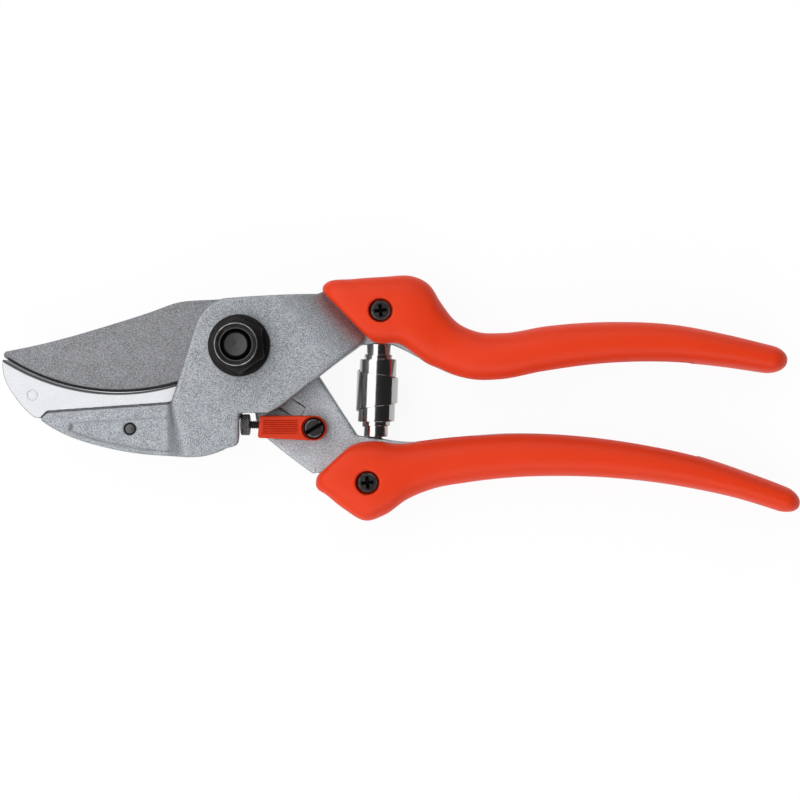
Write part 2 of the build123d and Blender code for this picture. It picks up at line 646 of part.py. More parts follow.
# Grips: lofted through their stations, slotted for the tang, recessed for the screw
grips = {}
for name, stations, tang_outer, tang_inner, slot_corner, screw_at, side in (
    ("upper_grip", UPPER_GRIP, FRONT_TANG_OUTER, FRONT_TANG_INNER, ARM_LOW, UPPER_SCREW_AT, 1),
    ("lower_grip", LOWER_GRIP, REAR_TANG_OUTER, REAR_TANG_INNER, REAR_RIGHT[-1], LOWER_SCREW_AT, -1),
):
    slot_outer = shifted(tang_outer, GRIP_GAP, side * GRIP_GAP)
    slot_inner = shifted(tang_inner, GRIP_GAP, -side * SLOT_OPEN)
    with BuildPart() as grip:
        for outer, inner, thick in stations:
            width = hypot(outer[0] - inner[0], outer[1] - inner[1])
            with BuildSketch(across(outer, inner, GRIP_MID)):
                RectangleRounded(width, thick, GRIP_ROUND * min(width, thick))
        loft()
        with BuildSketch(Plane.XY.offset(TANG_BACK - GRIP_GAP)):
            with BuildLine():
                Spline(*slot_outer)
                Line(slot_outer[-1], slot_inner[-1])
                Spline(*slot_inner)
                Polyline(slot_inner[0], shifted([slot_corner], 0, -side * SLOT_OPEN)[0], slot_outer[0])
            make_face()
        extrude(amount=TANG_T + 2 * GRIP_GAP, mode=Mode.SUBTRACT)
        with BuildSketch(Plane.XY.offset(GRIP_MID)):
            with Locations(screw_at):
                Circle(GRIP_SCREW_D / 2 + SEAT_GAP)
        extrude(amount=GRIP_T, mode=Mode.SUBTRACT)
        with BuildSketch(Plane.XY.offset(GRIP_SCREW_FLOOR)):
            with Locations(screw_at):
                Circle(GRIP_SCREW_RECESS_D / 2)
        extrude(amount=GRIP_T, mode=Mode.SUBTRACT)
    grips[name] = grip

    with BuildPart() as grip_screw:
        with BuildSketch(Plane.XY.offset(GRIP_SCREW_END)):
            with Locations(screw_at):
                Circle(GRIP_SCREW_D / 2)
        extrude(amount=GRIP_SCREW_FLOOR - GRIP_SCREW_END)
        with BuildSketch(Plane.XY.offset(GRIP_SCREW_FLOOR)):
            with Locations(screw_at):
                Circle(GRIP_SCREW_HEAD_D / 2)
        extrude(amount=GRIP_SCREW_HEAD_T)
        with BuildSketch(Plane.XY.offset(GRIP_SCREW_FLOOR + GRIP_SCREW_HEAD_T)):
            with Locations(screw_at):
                Rectangle(CROSS_L, CROSS_W)
                Rectangle(CROSS_W, CROSS_L)
        extrude(amount=-CROSS_DEPTH, mode=Mode.SUBTRACT)
    grips[name + "_screw"] = grip_screw

# Spring: half turns that alternate front and back, each cut to its sloping edges
half_turns = []
turn_lines = []
turn_x = SPRING_AT[0] + SPRING_WIDTHS[0] / 2
for count, turn_d in enumerate(SPRING_WIDTHS):
    way = -1 if count % 2 == 0 else 1
    next_x = turn_x + way * turn_d
    centre = ((turn_x + next_x) / 2, GRIP_MID)
    level = way * SPRING_T  # the edges run level where half turns meet
    stops = (turn_x - level, turn_x + level, next_x - level, next_x + level)
    tall = (SPRING_TALL[count],) * 2 + (SPRING_TALL[count + 1],) * 2
    slit = (SPRING_SLIT[count],) * 2 + (SPRING_SLIT[count + 1],) * 2 if count else None
    with BuildPart() as half_turn:
        with BuildSketch(Plane.XZ.offset(-SPRING_AT[1])):
            with Locations(centre):
                Circle((turn_d + SPRING_T) / 2)
                Circle((turn_d - SPRING_T) / 2, mode=Mode.SUBTRACT)
                facing = Align.MIN if way < 0 else Align.MAX
                Rectangle(SPRING_REACH, SPRING_REACH, align=(Align.CENTER, facing), mode=Mode.INTERSECT)
        extrude(amount=SPRING_REACH, both=True)
        with BuildSketch(Plane.XY.offset(GRIP_MID)):
            for leg in (1, -1):
                far = [(x, SPRING_AT[1] + leg * h) for x, h in zip(stops, tall)]
                near = [(x, SPRING_AT[1] + leg * h) for x, h in zip(stops, slit or (0, 0, 0, 0))]
                Polygon(*far, *reversed(near), align=None)
        extrude(amount=SPRING_REACH, both=True, mode=Mode.INTERSECT)
    half_turns.append(half_turn.part)
    angles = [step * pi / SPRING_STEPS for step in range(SPRING_STEPS + 1)]
    turn_lines.append([(centre[0] + turn_d / 2 * cos(a), -way * turn_d / 2 * sin(a)) for a in angles])
    turn_x = next_x
with BuildPart() as spring:
    for half_turn_part in half_turns:
        add(half_turn_part)
turn_gap = min(
    hypot(p[0] - q[0], p[1] - q[1]) - SPRING_T
    for first, line in enumerate(turn_lines)
    for other in turn_lines[first + 2 :]
    for p in line
    for q in other
)
print("least gap of the spring to itself:", round(min(turn_gap, 2 * SPRING_SLIT[1]), 3), "mm")

pieces = {
    "anvil_lever": anvil_lever,
    "anvil": anvil,
    "anvil_pin": anvil_pin,
    "blade": blade,
    "blade_lever": blade_lever,
    "pivot_bolt": pivot_bolt,
    "pivot_washer": pivot_washer,
    "pivot_nut": pivot_nut,
    "nut_ring": nut_ring,
    "pivot_bush": pivot_bush,
    "catch": catch,
    "catch_washer": catch_washer,
    "catch_screw": catch_screw,
    "adjuster_stem": adjuster_stem,
    "adjuster_knob": adjuster_knob,
    "spring": spring,
    **grips,
}
for name, piece in pieces.items():
    piece.part.label = name
    export_step(piece.part, f"parts/{name}.step")
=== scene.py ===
"""Looks of a pair of anvil pruning shears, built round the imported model.

Outlines and places are in millimetres, as on a drawing, and become metres where a mesh is made.
Properties with a unit are in Blender's metres.
"""

import math

import bmesh
import bpy
import numpy as np
from bpy.props import FloatProperty, FloatVectorProperty, PointerProperty
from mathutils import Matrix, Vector


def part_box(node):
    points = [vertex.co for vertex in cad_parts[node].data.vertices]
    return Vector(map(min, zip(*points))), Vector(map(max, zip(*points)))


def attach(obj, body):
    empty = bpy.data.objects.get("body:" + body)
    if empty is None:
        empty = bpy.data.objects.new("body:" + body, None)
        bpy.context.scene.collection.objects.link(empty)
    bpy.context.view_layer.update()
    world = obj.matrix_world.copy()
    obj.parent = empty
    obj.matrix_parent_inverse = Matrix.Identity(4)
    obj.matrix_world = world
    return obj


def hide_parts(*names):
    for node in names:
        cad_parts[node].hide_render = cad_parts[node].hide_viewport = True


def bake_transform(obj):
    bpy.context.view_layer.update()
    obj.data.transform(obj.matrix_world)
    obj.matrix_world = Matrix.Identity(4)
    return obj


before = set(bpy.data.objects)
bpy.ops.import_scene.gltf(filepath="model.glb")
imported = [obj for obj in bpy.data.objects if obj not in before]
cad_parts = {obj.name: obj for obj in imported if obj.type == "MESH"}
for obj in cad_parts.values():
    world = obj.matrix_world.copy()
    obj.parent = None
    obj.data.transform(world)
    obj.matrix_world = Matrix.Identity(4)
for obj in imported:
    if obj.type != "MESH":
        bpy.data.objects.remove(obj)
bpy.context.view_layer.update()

bl_info = {
    "name": "Anvil Pruning Shears",
    "version": (1, 0, 0),
    "blender": (4, 5, 0),
    "location": "View3D > Sidebar > Shears",
    "description": "Dresses the packed shears with moulded grips, a rolled spring and worn metal",
    "category": "Object",
}

MM = 0.001
MID_Z = 8.5  # middle height of the grips and the spring
SLOT_HALF = 3.15  # half the height of the slot that a grip has for its lever

# Grip stations: outer edge, inner edge, thickness, squareness of the section, share taken by the slot
UPPER_GRIP = [
    ((20.5, 15.0), (34.2, 1.0), 15.6, 3.6, 0.91),
    ((22.2, 16.8), (36.2, 0.7), 16.2, 3.6, 0.83),
    ((29.0, 17.7), (38.8, 0.7), 16.7, 3.5, 0.80),
    ((37.0, 18.3), (41.6, 0.4), 16.8, 3.3, 0.76),
    ((44.6, 18.5), (45.2, -2.2), 16.5, 3.0, 0.64),
    ((49.2, 16.2), (48.6, -4.7), 15.3, 2.7, 0.61),
    ((52.2, 11.6), (51.6, -6.2), 14.1, 2.5, 0.63),
    ((56.0, 6.8), (55.4, -7.8), 13.7, 2.4, 0.65),
    ((61.5, 4.0), (61.0, -9.0), 14.3, 2.4, 0.62),
    ((68.5, 3.6), (68.0, -8.9), 15.0, 2.4, 0.56),
    ((80.0, 5.4), (79.0, -6.8), 15.4, 2.4, 0.55),
    ((97.0, 6.5), (96.5, -4.5), 15.4, 2.4, 0.57),
    ((114.0, 5.7), (113.5, -4.2), 15.0, 2.4, 0.59),
    ((129.0, 2.8), (127.0, -5.4), 14.4, 2.4, 0.60),
    ((138.4, 0.5), (136.6, -6.8), 13.4, 2.4, 0.60),
    ((144.2, -0.9), (142.4, -7.6), 12.8, 2.4, 0.60),
]
LOWER_GRIP = [
    ((19.0, -34.6), (28.4, -25.9), 15.6, 3.6, 0.90),
    ((19.5, -36.9), (29.8, -25.4), 16.2, 3.6, 0.84),
    ((22.0, -38.9), (32.2, -24.9), 16.7, 3.5, 0.83),
    ((26.6, -42.6), (36.0, -24.8), 16.8, 3.4, 0.79),
    ((32.6, -45.8), (39.6, -25.3), 16.8, 3.2, 0.72),
    ((37.4, -44.3), (42.4, -25.3), 16.5, 2.9, 0.71),
    ((43.0, -40.4), (46.6, -24.7), 15.9, 2.6, 0.72),
    ((50.0, -37.5), (52.5, -23.9), 15.5, 2.4, 0.71),
    ((59.0, -35.8), (60.5, -23.2), 15.4, 2.4, 0.66),
    ((70.5, -34.5), (70.8, -22.6), 15.4, 2.4, 0.62),
    ((85.0, -34.1), (85.6, -23.1), 15.4, 2.4, 0.61),
    ((101.0, -34.9), (103.0, -25.2), 15.4, 2.4, 0.65),
    ((117.0, -37.1), (120.0, -28.8), 15.0, 2.4, 0.66),
    ((131.5, -40.3), (134.4, -33.6), 14.4, 2.4, 0.66),
    ((141.4, -43.4), (143.8, -37.2), 13.4, 2.4, 0.66),
    ((145.6, -44.8), (147.5, -38.8), 12.8, 2.4, 0.66),
]
GRIP_FRONT_ROUND = 1.3  # rounding of a grip's front end
GRIP_TAIL_ROUND = 5.0  # length over which its tail closes
GRIP_ROWS = 170
GRIP_COLUMNS = 76
SLOT_COLUMNS = 14  # points across a slot, of which the middle two are its floor
LIP_MOST = 0.75  # a slot takes at most this share of a section's height
UPPER_SLOT_END = 118.2  # where each slot ends, along X
LOWER_SLOT_END = 120.2
RECESS_DEPTH = 2.0  # floor of the hole round a grip's screw, below the top of the screw
RECESS_RIM = 0.45
RECESS_SURFACE = 0.15  # round that hole a grip is this much lower than at its thickest

# Spring: values at the ends of its half turns, from the outer end of the strip inwards
SPRING_RADII = [5.35, 5.25, 4.72, 4.62, 3.55, 3.45, 3.05, 2.90]
SPRING_TALL = [3.2, 5.3, 8.0, 8.2, 9.3, 9.5, 12.0, 12.05]
SPRING_SLIT = [0.0, 0.0, 2.2, 4.0, 6.0, 7.0, 8.4, 8.8]
SLIT_LEAST = 0.5  # the slit starts this wide, with a blunt end
SPRING_ROWS = 280
SPRING_COLUMNS = 9
SPRING_TILT = -0.034  # the spring leans this much to the left, going down

# Catch: its ribs run along it
CATCH_LEFT = ((4.7, -18.1), (4.7, -23.9))
CATCH_SLANT = 0.10  # its flat end leans this much
CATCH_ROUND = 0.55
CATCH_END_DROP = (1.3, 0.9)  # length and depth of the rounding of its round end
RIBS = 7
RIB_PITCH = 0.55
RIB_DEPTH = 0.42
RIB_ENDS = (5.7, 15.2)
RIB_FADE = 0.5  # length over which a rib fades out
CATCH_HOLE = 3.08  # radius of the hole round its screw's head
CATCH_HOLE_DEPTH = 1.5
CATCH_HOLE_RIM = 0.12
CATCH_HOLE_SHIFT = 0.16  # the hole lies this far to the left of the screw
CATCH_BORE = 2.06  # radius of the bore below it, for the screw's shoulder
CATCH_FLANGE = (2.75, 0.35)  # radius and height of the black flange of the catch's screw, painted near black too as shade round its head
STEM_BORE_GAP = 0.05  # between the stop screw's stem and its bore in the catch
STEM_BORE_PAST = 1.3  # that bore goes this far beyond the stem's end

# Pivot
NUT_TURN = math.radians(5.0)
HEX_FACE = 0.94  # radius of a hexagon's flat face, as a share of half its width across flats
HEX_CORNER = 0.566  # radius of its corners, as a share of that width
CHAMFER_SLOPE = math.tan(math.radians(30.0))
SHANK = 4.0  # radius of the bolt's shank
SHANK_GAP = 0.05
BOLT_END = 2.95  # radius of the end of its thread
BOLT_HEAD = 3.4  # height of its head
WASHER_RIM = 0.3
NUT_COLLAR = (5.65, 2.5, 0.6)  # radius, height and rounding of the nut's collar
NUT_MOUTH = (4.4, 2.1)  # radius and depth of the collar's mouth

# Screws: radius and height of the head, radius of the shank
GRIP_SCREW = (2.6, 2.0, 1.5)
CATCH_SCREW = (2.45, 1.4, 1.95)
CATCH_SCREW_SUNK = 0.25  # its face lies this far below the top of its CAD node
SCREW_RIM = 0.35
SCREW_CROWN = 0.12
SCREW_COLUMNS = 120
CROSS_ARM = (1.65, 0.46, 0.18)  # reach, half the width and slope of the walls
CROSS_DEPTH = 1.1
CROSS_TURN = math.radians(6.0)
SCREW_SLOT = (9.0, 0.48, 0.08)  # the same of the slot, which runs out of the head
SCREW_SLOT_DEPTH = 0.7
SCREW_SLOT_TURN = math.radians(31.0)

# Stop screw
KNOB_REACH = 0.13  # the knob reaches this far into its gap to the rounded lever
KNOB_RIM = 0.35
KNOB_ROWS = 34
KNOB_WEAR = 0.9
KNURL = (14, 4.2)  # waves round the knob for each of two slants, and how fast they turn along it
KNURL_DEPTH = 0.22
KNURL_FADE = 0.3  # length over which the knurl fades out at both ends
STEM_ROWS = 130
THREAD_PITCH = 0.5
THREAD_DEPTH = 0.28

# Jaws and levers
EDGE_CENTRE = (-32.35, 42.73)  # centre of the arc of the blade's edge
EDGE_RADIUS = 54.75
BLADE_TAIL_X = 9.5  # where the blade's tail starts, beyond the pivot
REAR_PAINTED_LIGHT = 1.3  # painted light, against the front lever's shadow: the rear lever is this much lighter than the front one
CAST_TONES = (0.42, 1.58)  # darkest and lightest grain of a casting, as shares of its colour
CAST_EDGES = (0.34, 9, 0.55)  # spacing of the grid, rounds of relaxing, and what counts as level: less level edges get painted shade
ANVIL_EDGES = (0.17, 12, 0.97)
EDGE_FADE = 0.15  # how softly the edge attribute, which places painted shade, sets in
UPRIGHT = 0.1  # a surface that rises less than this is upright
ANVIL_SEAT = [(-50.4, -17.0), (-18.8, -14.8)]  # line of the anvil's lower side, on the jaw
ANVIL_FOOT = (0.3, 0.28, 12.4)  # reach and depth of the foot that bears on the jaw, and its height
RING_MARK_AT = (-54.3, -12.8)  # small turned mark on the anvil
RING_MARK_R = 1.33
RING_MARK_SECTION = (0.14, 0.14)  # half its width, and its depth
PIN_FACE = 0.78  # radius of the pin's crowned face, as a share of the pin's
PIN_GROOVE = 0.7  # depth of the groove round that face

# Stage, in metres
FLOOR_SIZE = 6.0
FLOOR_Z = -0.0002
SENSOR_WIDTH = 36.0  # in millimetres

# Meshes and noise
CREASE = math.radians(32.0)  # a fold sharper than this shows as an edge
CUT_CREASE = math.radians(35.0)  # the same after a cut
ARC_STEPS = 7
ROUND_COLUMNS = 96  # points round a plain turned piece
FINE_COLUMNS = 144  # points round one with flats, a knurl or a thread
CORE = 0.3  # radius of the small face that closes a turned piece at its axis
CLOUD_SIZE = 14.0  # a cloud in the grain is this many times as large as a grain


class GripSettings(bpy.types.PropertyGroup):
    """Colour and surface of the moulded grips and the catch."""

    colour: FloatVectorProperty(
        name="Colour", description="Colour of the moulding", subtype="COLOR", size=3,
        default=(0.70, 0.039, 0.006), min=0.0, max=1.0,
    )
    roughness: FloatProperty(
        name="Roughness", description="How matt the moulding is", subtype="FACTOR",
        default=0.48, min=0.0, max=1.0,
    )
    recess_width: FloatProperty(
        name="Recess width", description="Width of the hole round a grip's screw", unit="LENGTH",
        default=0.0062, min=0.0054, max=0.008,
    )


class MetalSettings(bpy.types.PropertyGroup):
    """Colours of the metals and the size of their grain."""

    alloy: FloatVectorProperty(
        name="Cast alloy", description="Colour of the blasted levers", subtype="COLOR", size=3,
        default=(0.31, 0.327, 0.348), min=0.0, max=1.0,
    )
    blade: FloatVectorProperty(
        name="Blade", description="Colour of the coated blade", subtype="COLOR", size=3,
        default=(0.205, 0.208, 0.219), min=0.0, max=1.0,
    )
    anvil: FloatVectorProperty(
        name="Anvil", description="Colour of the ground anvil", subtype="COLOR", size=3,
        default=(0.64, 0.65, 0.675), min=0.0, max=1.0,
    )
    black: FloatVectorProperty(
        name="Black oxide", description="Colour of the blackened screws", subtype="COLOR", size=3,
        default=(0.005, 0.005, 0.006), min=0.0, max=1.0,
    )
    chrome: FloatVectorProperty(
        name="Spring", description="Colour of the polished spring", subtype="COLOR", size=3,
        default=(0.46, 0.45, 0.445), min=0.0, max=1.0,
    )
    grain: FloatProperty(
        name="Grain", description="Size of a grain of the blasted surfaces", unit="LENGTH",
        default=0.00024, min=0.0001, max=0.002,
    )
    bevel: FloatProperty(
        name="Bevel", description="Width of the ground bevel at the blade's edge", unit="LENGTH",
        default=0.0006, min=0.0003, max=0.004,
    )
    strip: FloatProperty(
        name="Spring strip", description="Thickness of the spring's strip", unit="LENGTH",
        default=0.00036, min=0.0001, max=0.0006,
    )


class StageSettings(bpy.types.PropertyGroup):
    """Light, floor and camera."""

    key: FloatProperty(
        name="Key light", description="Power of the large soft lamp", unit="POWER",
        default=7.9, min=0.0, max=50.0,
    )
    side: FloatProperty(
        name="Side lights", description="Power of the soft lamps beyond the handles", unit="POWER",
        default=4.4, min=0.0, max=50.0,
    )
    fill: FloatProperty(
        name="Fill light", description="Strength of the light from all round",
        default=0.14, min=0.0, max=2.0,
    )
    floor: FloatVectorProperty(
        name="Floor", description="Colour of the floor", subtype="COLOR", size=3,
        default=(0.93, 0.93, 0.93), min=0.0, max=1.0,
    )
    camera_at: FloatVectorProperty(
        name="Camera", description="Place of the camera, which looks straight down",
        subtype="TRANSLATION", unit="LENGTH", size=3, default=(0.04144, -0.01406, 0.420),
    )
    lens: FloatProperty(
        name="Lens", description="Focal length", unit="CAMERA",
        default=70.19, min=20.0, max=200.0,
    )


def node_box(node):
    """Lowest and highest corner of a CAD node, in millimetres."""
    low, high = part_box(node)
    return np.array(low) / MM, np.array(high) / MM


def smooth(knots, values, at):
    """A curve through values at knots: on each span a cubic, with the slopes of the parabolas through
    each point and its two neighbours at its ends."""
    knots = np.asarray(knots, float)
    values = np.asarray(values, float)
    step = np.diff(knots)[:, None]
    rise = np.diff(values, axis=0) / step
    inner = (rise[:-1] * step[1:] + rise[1:] * step[:-1]) / (step[:-1] + step[1:])
    slope = np.vstack([rise[:1], inner, rise[-1:]])
    span = np.clip(np.searchsorted(knots, at, side="right") - 1, 0, len(step) - 1)
    width = step[span]
    s = (at - knots[span])[:, None] / width
    return (
        (1 + 2 * s) * (1 - s) ** 2 * values[span]
        + s * (1 - s) ** 2 * width * slope[span]
        + s**2 * (3 - 2 * s) * values[span + 1]
        + s**2 * (s - 1) * width * slope[span + 1]
    )


def quarter(steps=ARC_STEPS, share=1.0):
    """Even angles over a quarter turn, or over a share of it."""
    return np.linspace(0, math.pi / 2 * share, steps)


def whole_turn(columns):
    """Even angles over a whole turn, which stop one step before its end."""
    return np.linspace(0, 2 * math.pi, columns, endpoint=False)


def grid_faces(rows, columns, ring_rows, ring_columns):
    """Quads between the points of a grid, counted row by row. A ring joins its last to its first."""
    index = np.arange(rows * columns).reshape(rows, columns)
    if ring_rows:
        index = np.vstack([index, index[:1]])
    if ring_columns:
        index = np.hstack([index, index[:, :1]])
    quads = np.stack([index[:-1, :-1], index[:-1, 1:], index[1:, 1:], index[1:, :-1]], axis=-1)
    return quads.reshape(-1, 4).tolist()


def new_piece(name, points, material, ring_rows=False, wear_and_shade=None):
    """An object whose mesh is a tube of points[row, column] in millimetres. Its columns close on
    themselves. Its rows do so too in a ring, and otherwise both ends get a face."""
    rows, columns = points.shape[:2]
    faces = grid_faces(rows, columns, ring_rows, True)
    if not ring_rows:
        faces += [list(range(columns)), list(range((rows - 1) * columns, rows * columns))]
    mesh = bpy.data.meshes.new(name)
    mesh.from_pydata((points.reshape(-1, 3) * MM).tolist(), [], faces)
    if wear_and_shade is not None:
        layer = mesh.attributes.new("wear_and_shade", "FLOAT", "POINT")
        layer.data.foreach_set("value", np.ascontiguousarray(wear_and_shade, np.float32).ravel())
    return finish_mesh(mesh, name, material)


def finish_mesh(mesh, name, material, merge=0.0):
    """Merges points that lie within a distance, turns the faces outwards, smooths them except over
    sharp edges, and links the object."""
    shape = bmesh.new()
    shape.from_mesh(mesh)
    if merge:
        bmesh.ops.remove_doubles(shape, verts=shape.verts, dist=merge * MM)
    bmesh.ops.recalc_face_normals(shape, faces=shape.faces)
    shape.to_mesh(mesh)
    shape.free()
    mesh.shade_smooth()
    mesh.set_sharp_from_angle(angle=CREASE)
    mesh.materials.append(material)
    piece = bpy.data.objects.new(name, mesh)
    bpy.context.scene.collection.objects.link(piece)
    return piece


def settle(piece, body, slot, *nodes):
    """The piece rides on a body and stands for CAD nodes. The slot it is given is not used."""
    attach(piece, body)
    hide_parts(*nodes)


def turned(radii, heights, centre, axis="Z"):
    """A surface of revolution: radii[row, column] at even angles round the axis, heights along it."""
    angles = whole_turn(radii.shape[1])
    across = radii * np.cos(angles)
    up = radii * np.sin(angles)
    along = np.broadcast_to(heights, radii.shape)
    order = (across, up, along) if axis == "Z" else (along, across, up)
    return np.stack(order, axis=-1) + np.asarray(centre, float)


def lathe(profile, centre, axis="Z", columns=ROUND_COLUMNS):
    """A turned surface from a profile of (radius, height) points."""
    profile = np.asarray(profile, float)
    radii = np.repeat(profile[:, :1], columns, axis=1)
    return turned(radii, profile[:, 1:], centre, axis)


def turned_rows(rows, centre=(0.0, 0.0, 0.0), columns=FINE_COLUMNS):
    """A turned surface from rows of (radius, height, wear), and how worn its points are; below 0 a value
    is painted shade instead. Each is one number for the whole row, or an array of them at even angles."""
    level = np.ones(columns)
    radii, heights, wear_and_shade = (np.array([value * level for value in values]) for values in zip(*rows))
    return turned(radii, heights, centre), wear_and_shade


def capped_rod(radii, along, tip, centre):
    """A surface of revolution along X, with both ends drawn in to a tip of one small radius."""
    ends = np.full((1, radii.shape[1]), tip)
    return turned(np.vstack([ends, radii, ends]), np.vstack([along[:1], along, along[-1:]]), centre, "X")


def quarter_round(radius, height, size):
    """Points of a rounded upper outer edge: a quarter of a circle from the side to the top."""
    return [
        (radius - size * (1 - math.cos(a)), height - size * (1 - math.sin(a)))
        for a in quarter(ARC_STEPS - 1)
    ]


def hexagon(across, turn, columns=FINE_COLUMNS):
    """Distance from the middle to the side of a hexagon, at even angles, with its corners cut round.
    Also how far its chamfer has come down there, in a straight slope from its flat face."""
    off_flat = (whole_turn(columns) - turn + math.pi / 6) % (math.pi / 3) - math.pi / 6
    six = np.minimum(across / 2 / np.cos(off_flat), across * HEX_CORNER)
    return six, np.clip(six - across / 2 * HEX_FACE, 0, None) * CHAMFER_SLOPE


def fill_inputs(node, inputs):
    """Gives a node its inputs: a socket is linked, anything else is set."""
    for name, value in inputs.items():
        if isinstance(value, bpy.types.NodeSocket):
            node.id_data.links.new(value, node.inputs[name])
        else:
            node.inputs[name].default_value = value


def add(tree, kind, inputs=None, **settings):
    """A node with its settings and its inputs."""
    node = tree.nodes.new(kind)
    for name, value in settings.items():
        setattr(node, name, value)
    fill_inputs(node, inputs or {})
    return node


def math_node(tree, operation, *values, clamp=False):
    """The result of a math node."""
    inputs = dict(enumerate(values))
    return add(tree, "ShaderNodeMath", inputs, operation=operation, use_clamp=clamp).outputs[0]


def vector_math(tree, operation, first, second):
    """The outputs of a vector math node."""
    return add(tree, "ShaderNodeVectorMath", {0: first, 1: second}, operation=operation).outputs


def spread(tree, value, low, high):
    """A value from 0 to 1, spread between two others."""
    return math_node(tree, "MULTIPLY_ADD", value, high - low, low)


def off_middle(tree, value):
    """How far a value from 0 to 1 is off its middle."""
    return math_node(tree, "SUBTRACT", value, 0.5)


def mix_colours(tree, share, first, second):
    """A colour between two, by a share from 0 to 1."""
    return add(tree, "ShaderNodeMix", {0: share, 6: first, 7: second}, data_type="RGBA").outputs[2]


def noise(tree, place, scale, detail, roughness=0.5):
    """The value of a noise texture."""
    inputs = {"Vector": place, "Scale": scale, "Detail": detail, "Roughness": roughness}
    return add(tree, "ShaderNodeTexNoise", inputs).outputs[0]


def attribute(tree, name):
    """The piece's own attribute of that name."""
    return add(tree, "ShaderNodeAttribute", attribute_name=name).outputs["Fac"]


def bump(tree, height, distance, strength):
    """The normal that a height map gives, with its distance in millimetres."""
    inputs = {"Height": height, "Distance": distance * MM, "Strength": strength}
    return add(tree, "ShaderNodeBump", inputs).outputs[0]


def shade(colour, factor=1.0):
    """A colour, lighter or darker, with its alpha."""
    return (*(min(1.0, channel * factor) for channel in colour), 1.0)


def tones(colour, dark, light):
    """A colour made darker, and the same colour made lighter."""
    return shade(colour, dark), shade(colour, light)


def new_group(name, inputs, outputs):
    """An empty shader group with named sockets, what comes into it and its output node."""
    group = bpy.data.node_groups.new(name, "ShaderNodeTree")
    for way, sockets in (("INPUT", inputs), ("OUTPUT", outputs)):
        for socket, kind in sockets.items():
            group.interface.new_socket(name=socket, in_out=way, socket_type="NodeSocket" + kind)
    return group, add(group, "NodeGroupInput").outputs, add(group, "NodeGroupOutput")


def grit_group():
    """Blasted or moulded grain: fine noise for the grains, with cloudy noise many times larger."""
    group, given, result = new_group(
        "Grit",
        {"Place": "Vector", "Scale": "Float", "Contrast": "Float", "Dark": "Color", "Light": "Color"},
        {"Color": "Color", "Grain": "Float", "Cloud": "Float"},
    )
    fine = noise(group, given["Place"], given["Scale"], 2.0, 0.65)
    cloud = noise(group, given["Place"], math_node(group, "DIVIDE", given["Scale"], CLOUD_SIZE), 3.0)
    grain = math_node(group, "MULTIPLY_ADD", off_middle(group, fine), given["Contrast"], 0.5)
    share = math_node(group, "MULTIPLY_ADD", off_middle(group, cloud), 0.35, grain, clamp=True)
    colour = mix_colours(group, share, given["Dark"], given["Light"])
    fill_inputs(result, {"Color": colour, "Grain": fine, "Cloud": cloud})
    return group


def lines_group():
    """Fine lines: noise drawn out along one way, as grinding and handling leave it."""
    group, given, result = new_group(
        "Fine lines", {"Place": "Vector", "Along": "Float", "Across": "Float"}, {"Lines": "Float"},
    )
    stretch = {0: given["Along"], 1: given["Across"], 2: given["Across"]}
    stretch = add(group, "ShaderNodeCombineXYZ", stretch).outputs[0]
    place = vector_math(group, "MULTIPLY", given["Place"], stretch)[0]
    fill_inputs(result, {"Lines": noise(group, place, 1.0, 3.0)})
    return group


def wear_group():
    """Rubbed edges: the piece's own wear attribute, broken up by noise."""
    group, given, result = new_group(
        "Rubbed edges", {"Place": "Vector", "Wear": "Float", "Scale": "Float"}, {"Mask": "Float"},
    )
    patches = math_node(group, "SUBTRACT", noise(group, given["Place"], given["Scale"], 4.0), 1.15)
    rubbed = math_node(group, "MULTIPLY_ADD", given["Wear"], 1.5, patches)
    fill_inputs(result, {"Mask": math_node(group, "MULTIPLY", rubbed, 2.2, clamp=True)})
    return group


def use_group(tree, name, inputs):
    """The outputs of a shared group placed in a material. It is made when it is first asked for."""
    makers = {"Grit": grit_group, "Fine lines": lines_group, "Rubbed edges": wear_group}
    group = bpy.data.node_groups.get(name) or makers[name]()
    return add(tree, "ShaderNodeGroup", inputs, node_tree=group).outputs


def grit(tree, place, scale, contrast, dark, light):
    """The outputs of the shared grain, between two colours."""
    return use_group(tree, "Grit", {
        "Place": place, "Scale": scale, "Contrast": contrast, "Dark": dark, "Light": light,
    })


def fine_lines(tree, place, along, across):
    """The shared fine lines, by how often noise changes along and across them."""
    return use_group(tree, "Fine lines", {"Place": place, "Along": along, "Across": across})["Lines"]


def new_material(name, **constants):
    """A material with constants on its shader, its tree, its shader and the piece's own coordinates."""
    material = bpy.data.materials.new(name)
    material.use_nodes = True
    tree = material.node_tree
    shader = tree.nodes["Principled BSDF"]
    fill_inputs(shader, {socket.replace("_", " "): value for socket, value in constants.items()})
    return material, tree, shader, add(tree, "ShaderNodeTexCoord").outputs["Object"]


def grip_moulding(settings, name="grip_moulding", tone=1.0):
    """Satin moulding: a very fine grain, a little cloudiness in its colour and gloss."""
    material, tree, shader, place = new_material(name, Specular_IOR_Level=0.2)
    grain = grit(tree, place, 1500.0, 0.5, *tones(settings.colour, 0.90 * tone, 1.08 * tone))
    rough = settings.roughness
    fill_inputs(shader, {
        "Base Color": grain["Color"],
        "Roughness": spread(tree, grain["Cloud"], rough - 0.07, rough + 0.07),
        "Normal": bump(tree, grain["Grain"], 0.04, 0.35),
    })
    return material


def cast_tones(settings, tone):
    """The darkest and the lightest grain of a casting."""
    return tones(settings.alloy, CAST_TONES[0] * tone, CAST_TONES[1] * tone)


